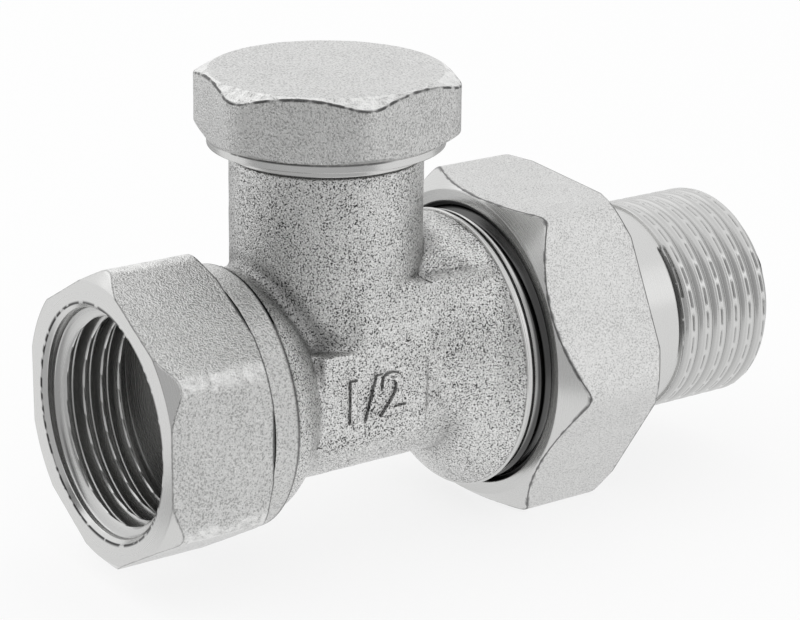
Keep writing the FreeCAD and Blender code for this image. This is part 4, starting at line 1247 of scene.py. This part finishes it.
class VALVE_OT_stage(bpy.types.Operator):
    """Sets the camera, the lamps, the pale floor and the grey cards that the metal mirrors"""

    bl_idname = "valve.stage"
    bl_label = "Stage"

    def execute(self, context):
        scene = context.scene
        size = scene.valve_stage
        target = Vector(size.target)
        back = direction_from(math.degrees(size.azimuth), math.degrees(size.elevation))
        data = bpy.data.cameras.new("camera")
        data.lens, data.sensor_width = size.lens, 36.0
        data.clip_start, data.clip_end = 0.01, 10.0
        scene.camera = linked("camera", data)
        place = pointed(back, (0, 0, 1), target + back * size.distance)
        scene.camera.matrix_world = place @ Matrix.Rotation(size.roll, 4, "Z")
        # Each soft box: azimuth, elevation, distance, width, height and power
        boxes = (
            (46, 26, 0.5, 0.3, 0.25, 0.05),
            (-110, 45, 0.5, 0.35, 0.35, 0.1),
            (-165, 45, 0.6, 0.35, 0.35, 0.15),
        )
        for number, (around, over, away, width, height, power) in enumerate(boxes, start=1):
            lamp = bpy.data.lights.new(f"soft_box_{number}", "AREA")
            lamp.shape, lamp.size, lamp.size_y, lamp.energy = "RECTANGLE", width, height, power
            out = direction_from(around, over)
            holder = linked(lamp.name, lamp)
            holder.matrix_world = pointed(out, (0, 0, 1), target + out * away)
        # Each grey card: first and last azimuth, near and far radius, lowest and highest elevation
        # of its upright part, and its tone
        cards = (
            (-110, 10, 0.045, 0.30, None, 45, 0.55),
            (-116, -92, 0.25, 0.26, -8, 42, 0.2),
            (-6, 14, 0.27, 0.28, None, 45, 0.42),
            (58, 98, 0.27, 0.28, None, 32, 0.60),
            (88, 175, 0.05, 0.25, None, 0, 0.50),
            (-186, -148, 0.05, 0.1, None, 0, 0.45),
        )
        for number, card in enumerate(cards, start=1):
            self.make_card(f"grey_card_{number}", target, *card)
        self.make_floor(size)
        self.make_world(scene, size)
        scene.view_settings.view_transform = "Standard"
        return {"FINISHED"}

    def make_card(self, name, target, first, last, near, far, bottom, top, tone):
        """A grey card that only the metal mirrors, bent round the valve.

        It lies on the floor from the near radius to the far one, and stands up from there as high
        as the top elevation seen from the valve; with a bottom elevation it only stands, above
        that. At an azimuth a and a radius r it is at (r sin a, -r cos a) from the target.
        """
        azimuth = np.radians(np.linspace(first, last, 33))
        low = CAD_BOX[0][2] - 0.03 * MM
        high = max(far * math.tan(math.radians(top)), low)
        if bottom is None:
            corners = (near, low), (far, low), (far, high)
        else:
            corners = (far, max(far * math.tan(math.radians(bottom)), low)), (far, high)
        out, up = np.array(corners).T[:, :, None]
        places = (target[0] + out * np.sin(azimuth), target[1] - out * np.cos(azimuth), up)
        points = np.stack(np.broadcast_arrays(*places), axis=-1)
        index = np.arange(len(out) * len(azimuth)).reshape(len(out), -1)
        faces = np.stack([index[:-1, :-1], index[:-1, 1:], index[1:, 1:], index[1:, :-1]], axis=-1)
        mesh = bpy.data.meshes.new(name)
        mesh.from_pydata(points.reshape(-1, 3).tolist(), [], faces.reshape(-1, 4).tolist())
        # A card of one even tone, whatever the lamps do
        material, _, _ = new_material(
            name,
            ("Base Color", (0, 0, 0, 1)),
            ("Specular IOR Level", 0.0),
            ("Emission Color", (1, 1, 1, 1)),
            ("Emission Strength", tone),
        )
        mesh.materials.append(material)
        card = linked(name, mesh)
        card.visible_camera = card.visible_diffuse = card.visible_shadow = False

    def make_floor(self, size):
        """The pale floor under the valve's lowest point: part of its light is its own, so that it
        shows white and still keeps the valve's shadow."""
        low = CAD_BOX[0][2] - 0.05 * MM
        half = 3.0
        mesh = bpy.data.meshes.new("floor")
        corners = [(-half, -half, low), (half, -half, low), (half, half, low), (-half, half, low)]
        mesh.from_pydata(corners, [], [(0, 1, 2, 3)])
        # Matt paint on an even board, the same all over
        material, tree, shader = new_material(
            "pale_floor", ("Base Color", (*size.floor_shade, 1.0)), ("Roughness", 0.9)
        )
        glow = add_node(tree, "ShaderNodeEmission", ("Color", (1, 1, 1, 1)), ("Strength", 1.0))
        own_light = calculated(tree, "MULTIPLY", seen_share(tree), 0.8)
        both = ((1, shader.outputs["BSDF"]), (2, glow.outputs["Emission"]))
        joined = add_node(tree, "ShaderNodeMixShader", (0, own_light), *both)
        output = next(node for node in tree.nodes if node.type == "OUTPUT_MATERIAL")
        tree.links.new(joined.outputs["Shader"], output.inputs["Surface"])
        mesh.materials.append(material)
        floor = linked("floor", mesh)

    def make_world(self, scene, size):
        """A world that shows and mirrors as white, and lights dull surfaces by its own amount."""
        world = bpy.data.worlds.new("studio")
        world.use_nodes = True
        tree = world.node_tree
        tree.nodes.clear()
        strength = ramp(tree, seen_share(tree), size.ambient, 1.0)
        settings = (("Color", (1, 1, 1, 1)), ("Strength", strength))
        glow = add_node(tree, "ShaderNodeBackground", *settings)
        add_node(tree, "ShaderNodeOutputWorld", ("Surface", glow.outputs["Background"]))
        scene.world = world


# Each operator with its group of sizes on the scene, in the order of building
PIECES = (
    (VALVE_OT_inlet_end, "valve_inlet", InletSizes),
    (VALVE_OT_forged_body, "valve_forging", ForgedBodySizes),
    (VALVE_OT_size_mark, "valve_mark", SizeMarkSizes),
    (VALVE_OT_union_end, "valve_union", UnionEndSizes),
    (VALVE_OT_neck_spigot, "valve_neck", NeckSizes),
    (VALVE_OT_hex_cap, "valve_cap", CapSizes),
    (VALVE_OT_union_nut, "valve_nut", NutSizes),
    (VALVE_OT_tail_piece, "valve_tail", TailSizes),
    (VALVE_OT_inner_pieces, "valve_finish", FinishColours),
    (VALVE_OT_stage, "valve_stage", StageSizes),
)


class VALVE_PT_pieces(bpy.types.Panel):
    """The valve's pieces and their sizes"""

    bl_idname = "VALVE_PT_pieces"
    bl_label = "Radiator Valve"
    bl_space_type = "VIEW_3D"
    bl_region_type = "UI"
    bl_category = "Radiator Valve"

    def draw(self, context):
        buttons = {group: operator.bl_idname for operator, group, _ in PIECES}
        for group in GROUPS:
            box = self.layout.box()
            if group in buttons:
                box.operator(buttons[group])
            sizes = getattr(context.scene, group)
            for name in sizes.bl_rna.properties.keys():
                if name not in ("rna_type", "name"):
                    box.prop(sizes, name)


# The pipe thread's sizes have no operator, because the inlet and the tail share them
GROUPS = {"valve_thread": PipeThreadSizes, **{group: kind for _, group, kind in PIECES}}
CLASSES = (*GROUPS.values(), *(operator for operator, _, _ in PIECES), VALVE_PT_pieces)


def register():
    """Registers the classes and gives the scene its groups of sizes."""
    for item in CLASSES:
        bpy.utils.register_class(item)
    for name, group in GROUPS.items():
        setattr(bpy.types.Scene, name, bpy.props.PointerProperty(type=group))


def unregister():
    """Takes the groups and the classes away again."""
    for name in GROUPS:
        delattr(bpy.types.Scene, name)
    for item in reversed(CLASSES):
        bpy.utils.unregister_class(item)


def main():
    """Builds every piece and the stage."""
    register()
    for operator, _, _ in PIECES:
        group, name = operator.bl_idname.split(".")
        getattr(getattr(bpy.ops, group), name)()


if __name__ == "__main__":
    main()
